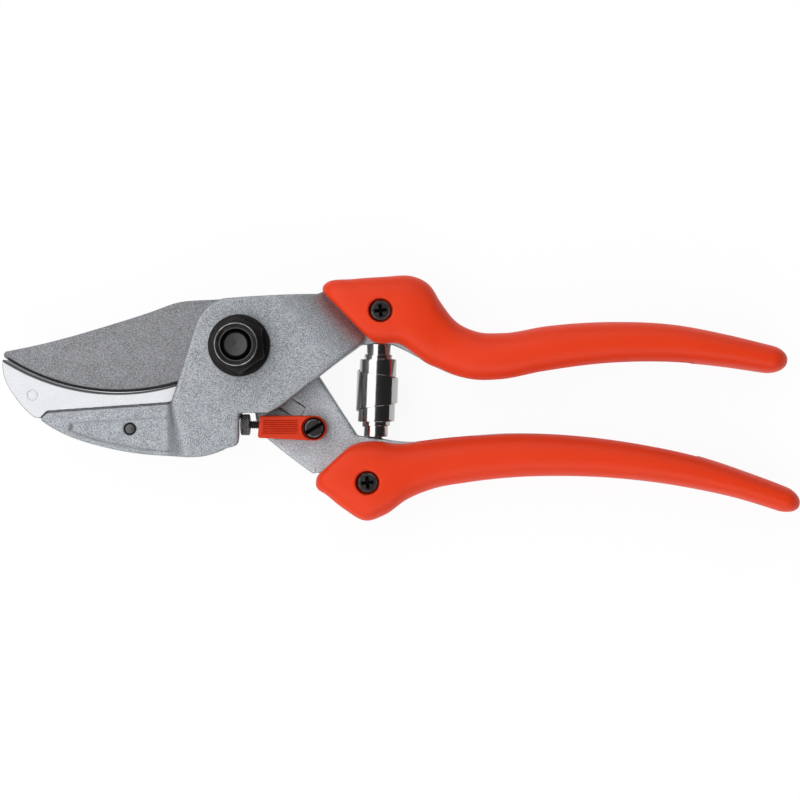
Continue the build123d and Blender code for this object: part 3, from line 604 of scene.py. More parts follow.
def cast_alloy(settings, name, tone):
    """Blasted casting: bright and dark grains over soft clouds, rough and dimpled, with painted shade on
    its sloped edges.
    """
    material, tree, shader, place = new_material(name, Metallic=0.6)
    grain = grit(tree, place, 1.0 / settings.grain, 3.2, *cast_tones(settings, tone))
    # Painted shade: where the edge attribute marks a sloped edge, the colour goes towards a dark shade of
    # the alloy.
    painted_edge_shade = math_node(tree, "MULTIPLY", attribute(tree, "edge"), 0.4)
    fill_inputs(shader, {
        "Base Color": mix_colours(tree, painted_edge_shade, grain["Color"], shade(settings.alloy, 0.18)),
        "Roughness": spread(tree, grain["Grain"], 0.38, 0.66),
        "Normal": bump(tree, grain["Grain"], 0.12, 0.55),
    })
    return material


def blade_coating(settings):
    """Grey coated steel with a fine even grain, its tail uncoated and coloured as the rear casting round
    it, with that casting's painted light; the bevel along the edge is ground, with painted shade on it."""
    material, tree, shader, place = new_material("blade_coating", Metallic=0.8)
    coat = grit(tree, place, 1.15 / settings.grain, 3.4, *tones(settings.blade, 0.40, 1.60))
    # The tail takes the rear casting's colour, made lighter as painted light against the front lever's
    # shadow.
    cast = grit(tree, place, 1.0 / settings.grain, 3.0, *cast_tones(settings, REAR_PAINTED_LIGHT))
    lines = fine_lines(tree, place, 200.0, 9000.0)
    # Painted shade: the ground bevel's colour is a darker shade of the blade's, with fine lines.
    bevel_painted_dark = mix_colours(tree, lines, *tones(settings.blade, 0.35, 0.75))
    flat = vector_math(tree, "MULTIPLY", place, (1, 1, 0))[0]
    centre = (EDGE_CENTRE[0] * MM, EDGE_CENTRE[1] * MM, 0.0)
    reach = vector_math(tree, "DISTANCE", flat, centre)["Value"]
    along = add(tree, "ShaderNodeSeparateXYZ", {0: place}).outputs["X"]
    tail = math_node(tree, "GREATER_THAN", along, BLADE_TAIL_X * MM)
    near_edge = math_node(tree, "GREATER_THAN", reach, EDGE_RADIUS * MM - settings.bevel)
    ground = math_node(tree, "SUBTRACT", near_edge, tail, clamp=True)
    coated = mix_colours(tree, tail, coat["Color"], cast["Color"])
    rough = spread(tree, coat["Grain"], 0.42, 0.62)
    fill_inputs(shader, {
        "Base Color": mix_colours(tree, ground, coated, bevel_painted_dark),
        "Roughness": math_node(tree, "MULTIPLY_ADD", ground, -0.22, rough),
        "Normal": bump(tree, coat["Grain"], 0.10, 0.45),
    })
    return material


def ground_anvil(settings):
    """Bright ground metal: fine lines along its length over a faint grain, with painted shade on its
    sloped edges.
    """
    material, tree, shader, place = new_material("ground_anvil", Metallic=0.3)
    grain = grit(tree, place, 1.0 / settings.grain, 1.6, *tones(settings.anvil, 0.86, 1.14))
    lines = fine_lines(tree, place, 300.0, 6000.0)
    # Painted shade: the edge attribute marks sloped edges, whose colour goes to a dark shade of the
    # anvil's.
    edge = attribute(tree, "edge")
    fill_inputs(shader, {
        "Base Color": mix_colours(tree, edge, grain["Color"], shade(settings.anvil, 0.12)),
        "Roughness": spread(tree, lines, 0.46, 0.72),
        "Normal": bump(tree, lines, 0.06, 0.35),
    })
    return material


def black_oxide(settings, name="black_oxide", rubbed=0.42, bloom=(0.026, 0.023, 0.022)):
    """Blackened steel with a brownish bloom, rubbed bright on the edges that stand out. Where the wear
    attribute is below 0, in recesses, it has painted shade: near black and rougher."""
    material, tree, shader, place = new_material(name, Metallic=0.55, Specular_IOR_Level=0.18)
    grain = grit(tree, place, 2600.0, 1.1, shade(settings.black, 0.6), shade(bloom))
    wear_and_shade = attribute(tree, "wear_and_shade")
    mask = use_group(tree, "Rubbed edges", {"Place": place, "Wear": wear_and_shade, "Scale": 900.0})["Mask"]
    worn = mix_colours(tree, mask, grain["Color"], (rubbed, rubbed, rubbed * 1.03, 1.0))
    # Painted shade: where the attribute is below 0, in recesses, the colour turns near black.
    deep = math_node(tree, "MULTIPLY", wear_and_shade, -1.0, clamp=True)
    rough = spread(tree, grain["Grain"], 0.30, 0.52)
    fill_inputs(shader, {
        "Base Color": mix_colours(tree, deep, worn, (0.002, 0.002, 0.002, 1.0)),
        "Roughness": math_node(tree, "MULTIPLY_ADD", deep, 0.4, rough),
        "Normal": bump(tree, grain["Grain"], 0.05, 0.4),
    })
    return material


def polished_spring(settings):
    """Polished strip steel: nearly a mirror, with hair lines round the strip and smudges."""
    material, tree, shader, place = new_material("polished_spring", Metallic=1.0)
    grain = grit(tree, place, 4200.0, 0.8, *tones(settings.chrome, 0.80, 1.10))
    fill_inputs(shader, {
        "Base Color": grain["Color"],
        "Roughness": spread(tree, grain["Cloud"], 0.08, 0.20),
        "Normal": bump(tree, fine_lines(tree, place, 900.0, 2600.0), 0.01, 0.25),
    })
    return material


def plain_grain(name, scale, contrast, colours, gloss, rough, **constants):
    """A finish of one grain between two colours. Its roughness follows the grain's output named as its
    gloss, between two values."""
    material, tree, shader, place = new_material(name, **constants)
    grain = grit(tree, place, scale, contrast, *colours)
    fill_inputs(shader, {"Base Color": grain["Color"], "Roughness": spread(tree, grain[gloss], *rough)})
    return material


def plain_steel(settings):
    """Dull bright steel, for the washer under the catch."""
    colours = tones(settings.alloy, 0.45, 0.85)
    return plain_grain("plain_steel", 2200.0, 1.0, colours, "Cloud", (0.28, 0.5), Metallic=0.9)


def ring_nylon():
    """Black nylon of the nut's locking ring."""
    colours = (0.018, 0.018, 0.019, 1.0), (0.05, 0.05, 0.052, 1.0)
    return plain_grain("ring_nylon", 3000.0, 0.8, colours, "Grain", (0.35, 0.6))


def bush_bronze():
    """Sintered bronze of the pivot bush."""
    colours = (0.34, 0.21, 0.09, 1.0), (0.66, 0.47, 0.24, 1.0)
    return plain_grain("bush_bronze", 3500.0, 1.2, colours, "Grain", (0.35, 0.6), Metallic=1.0)


def dress(material, *nodes):
    """Gives CAD nodes a material."""
    for name in nodes:
        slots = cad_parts[name].data.materials
        slots.clear()
        slots.append(material)


def softened(node, name, material, grid, rounds, level):
    """A copy of a CAD node with the edges of a casting: its surface is cut again into an even grid of
    quads, and each point then moves half-way to the mean of its neighbours, round after round. Its edge
    attribute is 1 where the surface is neither upright nor as level as given, 0 elsewhere; the materials
    paint shade there."""
    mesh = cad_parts[node].data.copy()
    mesh.materials.clear()
    piece = finish_mesh(mesh, name, material, merge=0.002)
    again = piece.modifiers.new("grid", "REMESH")
    again.mode = "VOXEL"
    again.voxel_size = grid * MM
    again.use_smooth_shade = True
    relax = piece.modifiers.new("relax", "SMOOTH")
    relax.factor = 0.5
    relax.iterations = rounds
    apply_modifiers(piece)
    mesh = piece.data
    mesh.shade_smooth()
    normals = np.empty(len(mesh.vertices) * 3, np.float32)
    mesh.vertex_normals.foreach_get("vector", normals)
    rise = np.abs(normals[2::3])
    edge = np.clip((level - rise) / EDGE_FADE, 0, 1) * np.clip((rise - UPRIGHT) / EDGE_FADE, 0, 1)
    mesh.attributes.new("edge", "FLOAT", "POINT").data.foreach_set("value", edge)
    return piece


def apply_modifiers(piece):
    """Puts the result of a piece's modifiers into its mesh."""
    shown = piece.evaluated_get(bpy.context.evaluated_depsgraph_get())
    mesh = bpy.data.meshes.new_from_object(shown)
    old = piece.data
    piece.modifiers.clear()
    piece.data = mesh
    bpy.data.meshes.remove(old)
    mesh.name = piece.name


def cut_away(piece, points, ring_rows=False):
    """Takes a closed tube or a ring of points off a piece."""
    cutter = new_piece("cutter", points, piece.data.materials[0], ring_rows)
    hole = piece.modifiers.new("cut", "BOOLEAN")
    hole.operation = "DIFFERENCE"
    hole.solver = "EXACT"
    hole.object = cutter
    apply_modifiers(piece)
    bpy.data.objects.remove(cutter)
    piece.data.set_sharp_from_angle(angle=CUT_CREASE)


def lower_foot(anvil):
    """Moves the anvil's lower side down on to the jaw: each point near the line of its seat, and below
    the foot's height, goes down by the foot's depth."""
    near, deep, height = ANVIL_FOOT
    seat = np.array(ANVIL_SEAT)
    points = np.empty(len(anvil.data.vertices) * 3, np.float32)
    anvil.data.vertices.foreach_get("co", points)
    x, y, z = points.reshape(-1, 3).T / MM
    low_side = np.abs(y - np.interp(x, *seat.T)) < near
    inside = (x > seat[0, 0]) & (x < seat[-1, 0])
    points[1::3] -= deep * MM * (low_side & inside & (z < height))
    anvil.data.vertices.foreach_set("co", points)


def mark_points(height):
    """A turned cutter for the anvil's mark: a ring with a rectangle as its section."""
    half, deep = RING_MARK_SECTION
    section = ((-half, -deep), (half, -deep), (half, 1.0), (-half, 1.0))
    return lathe([(RING_MARK_R + x, z) for x, z in section], (*RING_MARK_AT, height))


def grip_points(stations, slot_end):
    """Surface of a grip. A section lies across from the inner to the outer edge: a superellipse, with
    u**n + v**n = 1, that is open on the inner side, where a slot goes in to a share of its width. The
    sections follow smooth curves through the stations; they shrink as a circle does at both ends."""
    table = np.array([(*outer, *inner, *rest) for outer, inner, *rest in stations])
    middle = (table[:, 0:2] + table[:, 2:4]) / 2
    knots = np.concatenate([[0.0], np.cumsum(np.hypot(*np.diff(middle, axis=0).T))])
    front = GRIP_FRONT_ROUND * (1 - np.cos(quarter()))
    tail = knots[-1] - GRIP_TAIL_ROUND * (1 - np.sin(quarter(2 * ARC_STEPS, 0.97)))
    along = np.concatenate([front, np.linspace(front[-1], tail[0], GRIP_ROWS)[1:-1], tail])
    rows = smooth(knots, table, along)
    half = (rows[:, 0:2] - rows[:, 2:4]) / 2
    middle = (rows[:, 0:2] + rows[:, 2:4]) / 2
    width = np.hypot(*half.T)
    tall = rows[:, 4] / 2
    into = np.clip(GRIP_FRONT_ROUND - along, 0, None)
    inset = GRIP_FRONT_ROUND - np.sqrt(GRIP_FRONT_ROUND**2 - into**2)
    past = np.clip(1 - (knots[-1] - along) / GRIP_TAIL_ROUND, 0, 1)
    shrink = np.sqrt(1 - past**2)
    half = half / width[:, None] * ((width - inset) * shrink)[:, None]
    tall = (tall - inset) * shrink

    power = 2 / rows[:, 5:6]
    lip = np.clip(SLOT_HALF / tall, 0, LIP_MOST)[:, None]
    lip_angle = np.arcsin(lip ** (1 / power))
    outside = np.linspace(-1, 1, GRIP_COLUMNS) * (math.pi - lip_angle)
    inside = np.linspace(1, -1, SLOT_COLUMNS + 2)[1:-1] * lip_angle
    closed = np.where(inside >= 0, math.pi - inside, -math.pi - inside)

    def section(angle):
        """The superellipse's two coordinates: powers of the cosine and the sine, with their signs."""
        cosine, sine = np.cos(angle), np.sin(angle)
        return np.sign(cosine) * np.abs(cosine) ** power, np.sign(sine) * np.abs(sine) ** power

    u, v = section(outside)
    closed_u, closed_v = section(closed)
    floor = 2 * rows[:, 6:7] - 1
    side = SLOT_COLUMNS // 2 - 1
    wall = np.concatenate([np.linspace(0, 1, side + 1)[1:], np.ones(2), np.linspace(1, 0, side + 1)[:-1]])
    drop = np.concatenate([np.ones(side), [0.4, -0.4], -np.ones(side)])
    open_u = u[:, -1:] + (floor - u[:, -1:]) * wall
    open_v = lip * drop
    is_open = (rows[:, 2:3] < slot_end) & (shrink[:, None] > 0.999)
    u = np.hstack([u, np.where(is_open, open_u, closed_u)])
    v = np.hstack([v, np.where(is_open, open_v, closed_v)])
    flat = middle[:, None, :] + u[..., None] * half[:, None, :]
    return np.dstack([flat, MID_Z + v * tall[:, None]])


def recess_points(at, floor, radius, surface, rim, through=()):
    """A turned cutter: a round hole with a flared rim, and below its floor the points of through."""
    top = surface + 1.5
    flare = [
        (radius + rim * (1 - math.cos(a)), surface - rim + rim * math.sin(a))
        for a in quarter(ARC_STEPS - 1)
    ]
    foot = through[0][1] if through else floor
    profile = [(CORE, foot), *through, (radius, floor), *flare, (radius + rim + 0.02, top), (CORE, top)]
    return lathe(profile, (*at, 0.0))


def catch_points(low, high, axis):
    """Surface of the catch: sections across it, from its flat end to its round one, where its width
    shrinks as a circle does. A section is a rectangle with quarter rounds at its upper corners. Its top
    is lowered by the fourth power of a raised cosine across: ribs that fade out at both ends."""
    reach = high[0] - axis[0]
    (left, left_top), (_, left_low) = CATCH_LEFT
    start = left + CATCH_ROUND * (1 - np.cos(quarter()))
    end = axis[0] + reach * np.sin(quarter(40, 0.99))
    x = np.concatenate([start, np.linspace(start[-1], axis[0], 60)[1:-1], end])[:, None]
    along = np.clip((x - left) / (axis[0] - left), 0, 1)
    bow = np.sqrt(np.clip(1 - np.clip((x - axis[0]) / reach, 0, 1) ** 2, 0, 1))
    straight = x < axis[0]
    upper = np.where(straight, left_top + (axis[1] + reach - left_top) * along, axis[1] + reach * bow)
    lower = np.where(straight, left_low + (axis[1] - reach - left_low) * along, axis[1] - reach * bow)
    into = np.clip(CATCH_ROUND - (x - left), 0, None)
    inset = CATCH_ROUND - np.sqrt(CATCH_ROUND**2 - into**2)
    middle = (upper + lower) / 2
    half = (upper - lower) / 2 - inset

    # Round a section: the underside, a wall, a quarter round, the top, a quarter round, a wall
    across = np.linspace(-1, 1, 127)[1:-1]
    flat, turn = len(across), quarter()
    edge = CATCH_ROUND * np.minimum(1, half / 1.2)
    sides = np.concatenate([np.linspace(1, -1, 7), np.full(9, -1.0), across, np.full(9, 1.0)])
    first, last = 1 - np.cos(turn), 1 - np.cos(turn[::-1])
    inward = np.concatenate([np.zeros(9), first, np.ones(flat), last, np.zeros(2)])
    first, last = 1 - np.sin(turn), 1 - np.sin(turn[::-1])
    sinks = np.concatenate([np.ones(9), first, np.zeros(flat), last, np.ones(2)])
    share = np.concatenate([np.zeros(7), [0.4, 0.8], np.ones(flat + 14), [0.8, 0.4]])
    y = middle + sides * (half - inward * edge)
    long, deep = CATCH_END_DROP
    near = np.clip(1 - (high[0] - x) / long, 0, 1)
    top = high[2] - deep * (1 - np.sqrt(1 - near**2)) - inset
    crest = top - edge * sinks
    rib_phase = (y - (left_top + left_low) / 2) / RIB_PITCH
    groove = (0.5 + 0.5 * np.cos(2 * math.pi * rib_phase)) ** 4 * (np.abs(rib_phase) < RIBS / 2)
    fade = np.clip((x - RIB_ENDS[0]) / RIB_FADE, 0, 1) * np.clip((RIB_ENDS[1] - x) / RIB_FADE, 0, 1)
    z = low[2] + (crest - RIB_DEPTH * groove * fade * (sinks == 0) - low[2]) * share
    x = x + CATCH_SLANT * (y - axis[1]) * (1 - along) ** 2
    return np.stack(np.broadcast_arrays(x, y, z), axis=-1)


def spring_mesh(centre):
    """Mesh of the spring: a strip rolled round an upright line in the picture. At t half turns a row of
    points stands at a radius in the direction (cos pi t, sin pi t), from the edge of the slit to the
    edge of the strip, once upwards and once downwards. The radius and the strip's half height are
    smooth curves over t, the slit's is a straight one, and the whole leans."""
    turns = np.linspace(0, len(SPRING_RADII) - 1, SPRING_ROWS)
    curves = np.column_stack([SPRING_RADII, SPRING_TALL])
    radius, tall = smooth(np.arange(len(curves)), curves, turns).T
    slit = np.interp(turns, np.arange(len(SPRING_SLIT)), SPRING_SLIT)
    slit = np.where(slit < SLIT_LEAST, 0.0, slit)
    share = np.linspace(0, 1, SPRING_COLUMNS)
    legs = []
    for way in (1, -1):
        y = way * (slit[:, None] + (tall - slit)[:, None] * share)
        x = (radius * np.cos(math.pi * turns))[:, None] - SPRING_TILT * y
        z = np.repeat((radius * np.sin(math.pi * turns))[:, None], SPRING_COLUMNS, axis=1)
        legs.append(np.stack([x, y, z], axis=-1).reshape(-1, 3) + centre)
    faces = np.array(grid_faces(SPRING_ROWS, SPRING_COLUMNS, False, False))
    faces = np.vstack([faces, faces[:, ::-1] + len(legs[0])])
    mesh = bpy.data.meshes.new("spring_strip")
    mesh.from_pydata((np.vstack(legs) * MM).tolist(), [], faces.tolist())
    return mesh


def bolt_rows(across, top):
    """Rows of the bolt, from the middle of its head's face: over the chamfered hexagon to the shank,
    and up to the crowned end of its thread."""
    six, chamfer = hexagon(across, 0.0)
    return [
        (CORE, 0, 0), (across / 2 * HEX_FACE, 0, 0), (six, chamfer, 0.4), (six, BOLT_HEAD, 0.2),
        # Rows with values below 0, along the thread, carry painted shade, which turns them near black.
        (SHANK, BOLT_HEAD, 0), (SHANK, top - 1.7, -0.8), (BOLT_END + 0.2, top - 0.5, -0.8),
        (BOLT_END + 0.05, top - 0.15, 0.3), (BOLT_END - 0.15, top, 1), (BOLT_END - 0.4, top - 0.05, 0.85),
        (0.9, top - 0.1, 0.75), (CORE, top - 0.2, 0.7),
    ]


def washer_rows(radius, bottom, top):
    """Rows of the flat washer: a rectangle with a cut lower edge and a quarter round above it."""
    bore = SHANK + SHANK_GAP
    rounded = [(r, height, 0.35) for r, height in quarter_round(radius, top, WASHER_RIM)]
    return [
        (bore, bottom, 0), (radius - WASHER_RIM, bottom, 0), (radius, bottom + WASHER_RIM, 0), *rounded,
        (radius - 1.0, top, 0), (bore, top, 0),
    ]


def nut_rows(across, foot, top):
    """Rows of the nut: a hexagon chamfered at both ends, and on it a round collar. The collar's upper
    edge is a quarter round, most rubbed two thirds of the way up, as a bell curve over the angle. Its
    mouth goes down to the thread."""
    six, chamfer = hexagon(across, NUT_TURN)
    face = across / 2 * HEX_FACE
    collar, collar_high, size = NUT_COLLAR
    mouth, deep = NUT_MOUTH
    shoulder = top - collar_high
    bore = SHANK + SHANK_GAP
    rounded = [
        (collar - size * (1 - math.cos(a)), top - size * (1 - math.sin(a)),
         0.8 * math.exp(-((a - 1.05) / 0.3) ** 2))
        for a in quarter()
    ]
    return [
        (bore, foot, 0), (face, foot, 0), (six, foot + chamfer, 0.3), (six, shoulder - chamfer, 0.35),
        (face, shoulder, 0.3), (collar + 0.25, shoulder, 0), (collar, shoulder + 0.25, 0), *rounded,
        (collar - size - 0.12, top, 0), (mouth + 0.18, top - 0.1, 0.45), (mouth + 0.02, top - 0.3, 0.1),
        # The mouth's rows below 0 carry painted shade, which turns them near black.
        (mouth, top - 0.6, -1), (mouth, top - deep, -1), (bore, top - deep, -1),
    ]


def pin_rows(radius, bottom, top):
    """Rows of the anvil's pin: a face crowned as a parabola, a groove round it, a rim and the shank."""
    face = radius * PIN_FACE
    crown = np.linspace(0.05, face, 8)
    return [
        *((r, top - 0.15 * (r / face) ** 2, 1.0) for r in crown),
        # The groove's rows below 0 carry painted shade, which turns them near black.
        (face + 0.03, top - PIN_GROOVE, -1.0), (radius - 0.1, top - PIN_GROOVE, -1.0),
        (radius - 0.08, top - 0.05, 0.6), (radius, top - 0.1, 0.6), (radius, bottom + 0.3, 0),
        (radius - 0.3, bottom, 0), (0.05, bottom, 0),
    ]


def trough(along, across, reach, half_width, wall):
    """Depth from 0 to 1 of a trough with sloping walls and ends."""
    return np.clip((half_width - across) / wall, 0, 1) * np.clip((reach - along) / wall, 0, 1)


def along_across(x, y, turn):
    """How far points lie from the middle, along a direction and across it."""
    along = np.abs(x * math.cos(turn) + y * math.sin(turn))
    across = np.abs(y * math.cos(turn) - x * math.sin(turn))
    return along, across


def cross_recess(x, y):
    """Depth of a cross: the deeper of two troughs at right angles."""
    along, across = along_across(x, y, CROSS_TURN)
    return CROSS_DEPTH * np.maximum(trough(along, across, *CROSS_ARM), trough(across, along, *CROSS_ARM))


def slot_recess(x, y):
    """Depth of a slot: one trough."""
    return SCREW_SLOT_DEPTH * trough(*along_across(x, y, SCREW_SLOT_TURN), *SCREW_SLOT)


def screw_points(node, head, head_high, shank, recess, sunk=0.0, flange=()):
    """Surface of a screw that stands in a CAD node's place: from the middle of its crowned head, with
    recess(x, y) taken off it, over the rounded rim, a flange where its radius and height are given, and
    down the shank. Also how worn each point is; below 0 it is painted shade, in the recess and from the
    foot of the head down the shank."""
    low, high = node_box(node)
    centre = ((low[0] + high[0]) / 2, (low[1] + high[1]) / 2, 0.0)
    below = high[2] - head_high
    face = high[2] - sunk
    rim = SCREW_RIM
    crown = np.linspace(0.02, head - rim, 44)
    top = face - SCREW_CROWN * (crown / head) ** 2
    side = [(head - rim + rim * math.sin(a), top[-1] - rim + rim * math.cos(a)) for a in quarter()[1:]]
    foot = [(head, below)]
    if flange:
        lip = below + flange[1]
        foot = [(head, lip), (flange[0] - 0.08, lip), (flange[0], lip - 0.08), (flange[0], below)]
    profile = np.array([*zip(crown, top), *side, *foot, (shank, below), (shank, low[2])])
    radii = np.repeat(profile[:, :1], SCREW_COLUMNS, axis=1)
    heights = np.repeat(profile[:, 1:], SCREW_COLUMNS, axis=1)
    angles = whole_turn(SCREW_COLUMNS)
    depth = recess(radii * np.cos(angles), radii * np.sin(angles))
    heights[: len(crown)] -= depth[: len(crown)]
    wear_and_shade = np.zeros_like(radii)
    wear_and_shade[len(crown) - 2 : len(crown) + 5] = 0.55
    # Below 0: painted shade, near black, in the recess and from the foot of the head down the shank.
    wear_and_shade = np.where(depth > 0.3 * depth.max(), -1.0, wear_and_shade)
    wear_and_shade[len(crown) + len(side) :] = -1.0
    return turned(radii, heights, centre), wear_and_shade


def knob_points(low, high, centre):
    """Surface of the knob: a rod with quarter rounds at both ends. Its knurl is the product of two sine
    waves that wind round it in opposite ways, without their signs. Also how worn each point is."""
    angles = whole_turn(FINE_COLUMNS)
    along = np.linspace(low[0], high[0], KNOB_ROWS)[:, None]
    from_end = np.minimum(along - low[0], high[0] - along)
    inward = np.clip(KNOB_RIM - from_end, 0, KNOB_RIM)
    body = (high[1] - low[1]) / 2 - KNOB_RIM + np.sqrt(KNOB_RIM**2 - inward**2)
    waves, slant = KNURL
    one, other = (np.abs(np.sin(waves * angles + way * slant * along)) for way in (1, -1))
    knurl = one * other
    radii = body - KNURL_DEPTH * (1 - knurl) * np.clip(from_end / KNURL_FADE, 0, 1)
    return capped_rod(radii, along, CORE, centre), np.pad(KNOB_WEAR * knurl, ((1, 1), (0, 0)))


def stem_points(low, high, centre):
    """Surface of the stem: a rod whose radius is a triangle wave over its length, shifted by one pitch
    in a turn, which makes a thread."""
    along = np.linspace(low[0], high[0], STEM_ROWS)[:, None]
    phase = (along / THREAD_PITCH - whole_turn(FINE_COLUMNS) / (2 * math.pi)) % 1.0
    radii = (high[1] - low[1]) / 2 - THREAD_DEPTH * np.abs(2 * phase - 1)
    return capped_rod(radii, along, 0.2, centre)


class SHEARS_OT_levers(bpy.types.Operator):
    """Gives the cast levers, the blade, the anvil and the inner pieces their metals"""

    bl_idname = "shears.levers"
    bl_label = "Levers and jaws"

    def execute(self, context):
        metals = context.scene.shears_metals
        # The rear lever's alloy is made lighter: painted light against the front lever's shadow.
        for node, body, tone in (("anvil_lever", "front", 1.0), ("blade_lever", "rear", REAR_PAINTED_LIGHT)):
            alloy = cast_alloy(metals, node + "_alloy", tone)
            settle(softened(node, node + "_cast", alloy, *CAST_EDGES), body, "cast_alloy", node)
        dress(blade_coating(metals), "blade")
        anvil = softened("anvil", "anvil_ground", ground_anvil(metals), *ANVIL_EDGES)
        lower_foot(anvil)
        cut_away(anvil, mark_points(node_box("anvil")[1][2]), True)
        settle(anvil, "front", "anvil_metal", "anvil")
        dress(plain_steel(metals), "catch_washer")
        dress(ring_nylon(), "nut_ring")
        dress(bush_bronze(), "pivot_bush")
        return {"FINISHED"}


class SHEARS_OT_grips(bpy.types.Operator):
    """Makes the two moulded grips and the ribbed catch"""

    bl_idname = "shears.grips"
    bl_label = "Grips and catch"

    def execute(self, context):
        settings = context.scene.shears_grips
        moulding = grip_moulding(settings)
        radius = settings.recess_width / MM / 2
        surface = node_box("upper_grip")[1][2] - RECESS_SURFACE
        for node, stations, slot_end, body in (
            ("upper_grip", UPPER_GRIP, UPPER_SLOT_END, "front"),
            ("lower_grip", LOWER_GRIP, LOWER_SLOT_END, "rear"),
        ):
            grip = new_piece(node + "_cover", grip_points(stations, slot_end), moulding)
            low, high = node_box(node + "_screw")
            at, floor = (low[:2] + high[:2]) / 2, high[2] - RECESS_DEPTH
            cut_away(grip, recess_points(at, floor, radius, surface, RECESS_RIM))
            settle(grip, body, "grip_plastic", node)

        low, high = node_box("catch")
        head_low, head_high = node_box("catch_screw")
        axis = (head_low + head_high) / 2
        darker = grip_moulding(settings, "catch_moulding", 0.80)
        catch = new_piece("catch_ribbed", catch_points(low, high, axis), darker)
        at, floor = (axis[0] - CATCH_HOLE_SHIFT, axis[1]), high[2] - CATCH_HOLE_DEPTH
        bore = CATCH_BORE + CATCH_HOLE_SHIFT
        shoulder = [(bore, low[2] - 1.0), (bore, floor)]
        cut_away(catch, recess_points(at, floor, CATCH_HOLE, high[2], CATCH_HOLE_RIM, shoulder))
        stem_low, stem_high = node_box("adjuster_stem")
        bore = (stem_high[1] - stem_low[1]) / 2 + STEM_BORE_GAP
        start, end = low[0] - 1.0, stem_high[0] + STEM_BORE_PAST
        profile = [(0.1, start), (bore, start), (bore, end), (0.1, end)]
        cut_away(catch, lathe(profile, (0.0, *((stem_low + stem_high) / 2)[1:]), "X", ROUND_COLUMNS // 2))
        settle(catch, "catch", "grip_plastic", "catch")
        return {"FINISHED"}


class SHEARS_OT_spring(bpy.types.Operator):
    """Makes the rolled strip of the spring, which stands between the two levers"""

    bl_idname = "shears.spring"
    bl_label = "Spring"

    def execute(self, context):
        metals = context.scene.shears_metals
        low, high = node_box("spring")
        centre = (low + high) / 2
        strip = finish_mesh(spring_mesh(centre), "spring_strip", polished_spring(metals), merge=0.001)
        wall = strip.modifiers.new("thickness", "SOLIDIFY")
        wall.thickness = metals.strip
        wall.offset = 0.0
        edge = strip.modifiers.new("edge", "BEVEL")
        edge.width = metals.strip / 5
        edge.segments = 2
        edge.limit_method = "ANGLE"
        edge.angle_limit = math.radians(60.0)
        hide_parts("spring")
        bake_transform(strip)
        return {"FINISHED"}


class SHEARS_OT_pivot(bpy.types.Operator):
    """Makes the bolt, the washer and the collared nut of the pivot"""

    bl_idname = "shears.pivot"
    bl_label = "Pivot"

    def execute(self, context):
        metals = context.scene.shears_metals
        black = black_oxide(metals)
        low, high = node_box("pivot_bolt")
        across = high[1] - low[1]
        points, wear_and_shade = turned_rows(bolt_rows(across, high[2]))
        bolt = new_piece("pivot_bolt_turned", points, black_oxide(metals, "bolt_black", 0.052), wear_and_shade=wear_and_shade)
        settle(bolt, "front", "black_steel", "pivot_bolt")

        low, high = node_box("pivot_washer")
        points, wear_and_shade = turned_rows(washer_rows(high[0], low[2], high[2]), columns=ROUND_COLUMNS)
        washer = new_piece("pivot_washer_flat", points, black, ring_rows=True, wear_and_shade=wear_and_shade)
        settle(washer, "front", "black_steel", "pivot_washer")

        low, high = node_box("pivot_nut")
        points, wear_and_shade = turned_rows(nut_rows(across, low[2], high[2]))
        nut = new_piece("pivot_nut_collared", points, black, ring_rows=True, wear_and_shade=wear_and_shade)
        settle(nut, "front", "black_steel", "pivot_nut")
        return {"FINISHED"}


class SHEARS_OT_screws(bpy.types.Operator):
    """Makes the grips' cross-head screws and the catch's slotted screw"""

    bl_idname = "shears.screws"
    bl_label = "Screws"

    def execute(self, context):
        metals = context.scene.shears_metals
        black = black_oxide(metals, "screw_black", 0.20, (0.05, 0.047, 0.046))
        for node, body in (("upper_grip_screw", "front"), ("lower_grip_screw", "rear")):
            points, wear_and_shade = screw_points(node, *GRIP_SCREW, cross_recess)
            screw = new_piece(node + "_cross", points, black, wear_and_shade=wear_and_shade)
            settle(screw, body, "black_steel", node)
        points, wear_and_shade = screw_points(
            "catch_screw", *CATCH_SCREW, slot_recess, CATCH_SCREW_SUNK, CATCH_FLANGE,
        )
        screw = new_piece("catch_screw_slotted", points, black, wear_and_shade=wear_and_shade)
        settle(screw, "rear", "black_steel", "catch_screw")
        return {"FINISHED"}


class SHEARS_OT_anvil_pin(bpy.types.Operator):
    """Makes the pin that holds the anvil in the jaw"""

    bl_idname = "shears.anvil_pin"
    bl_label = "Anvil pin"

    def execute(self, context):
        low, high = node_box("anvil_pin")
        centre = ((low[0] + high[0]) / 2, (low[1] + high[1]) / 2, 0.0)
        rows = pin_rows((high[0] - low[0]) / 2, low[2], high[2])
        points, wear_and_shade = turned_rows(rows, centre, ROUND_COLUMNS)
        steel = black_oxide(context.scene.shears_metals, "pin_steel", 0.085)
        pin = new_piece("anvil_pin_rivet", points, steel, wear_and_shade=wear_and_shade)
        settle(pin, "front", "bright_steel", "anvil_pin")
        return {"FINISHED"}


class SHEARS_OT_stop_screw(bpy.types.Operator):
    """Makes the knurled knob and the threaded stem of the stop screw"""

    bl_idname = "shears.stop_screw"
    bl_label = "Stop screw"

    def execute(self, context):
        black = black_oxide(context.scene.shears_metals, "stop_black", 0.30, (0.10, 0.092, 0.088))
        low, high = node_box("adjuster_knob")
        low[0] -= KNOB_REACH
        centre = (0.0, *((low + high) / 2)[1:])
        points, wear_and_shade = knob_points(low, high, centre)
        knob = new_piece("stop_knob_knurled", points, black, wear_and_shade=wear_and_shade)
        settle(knob, "stop_knob", "black_steel", "adjuster_knob")

        low, high = node_box("adjuster_stem")
        centre = (0.0, *((low + high) / 2)[1:])
        stem = new_piece("stop_stem_threaded", stem_points(low, high, centre), black)
        settle(stem, "stop_stem", "black_steel", "adjuster_stem")
        return {"FINISHED"}


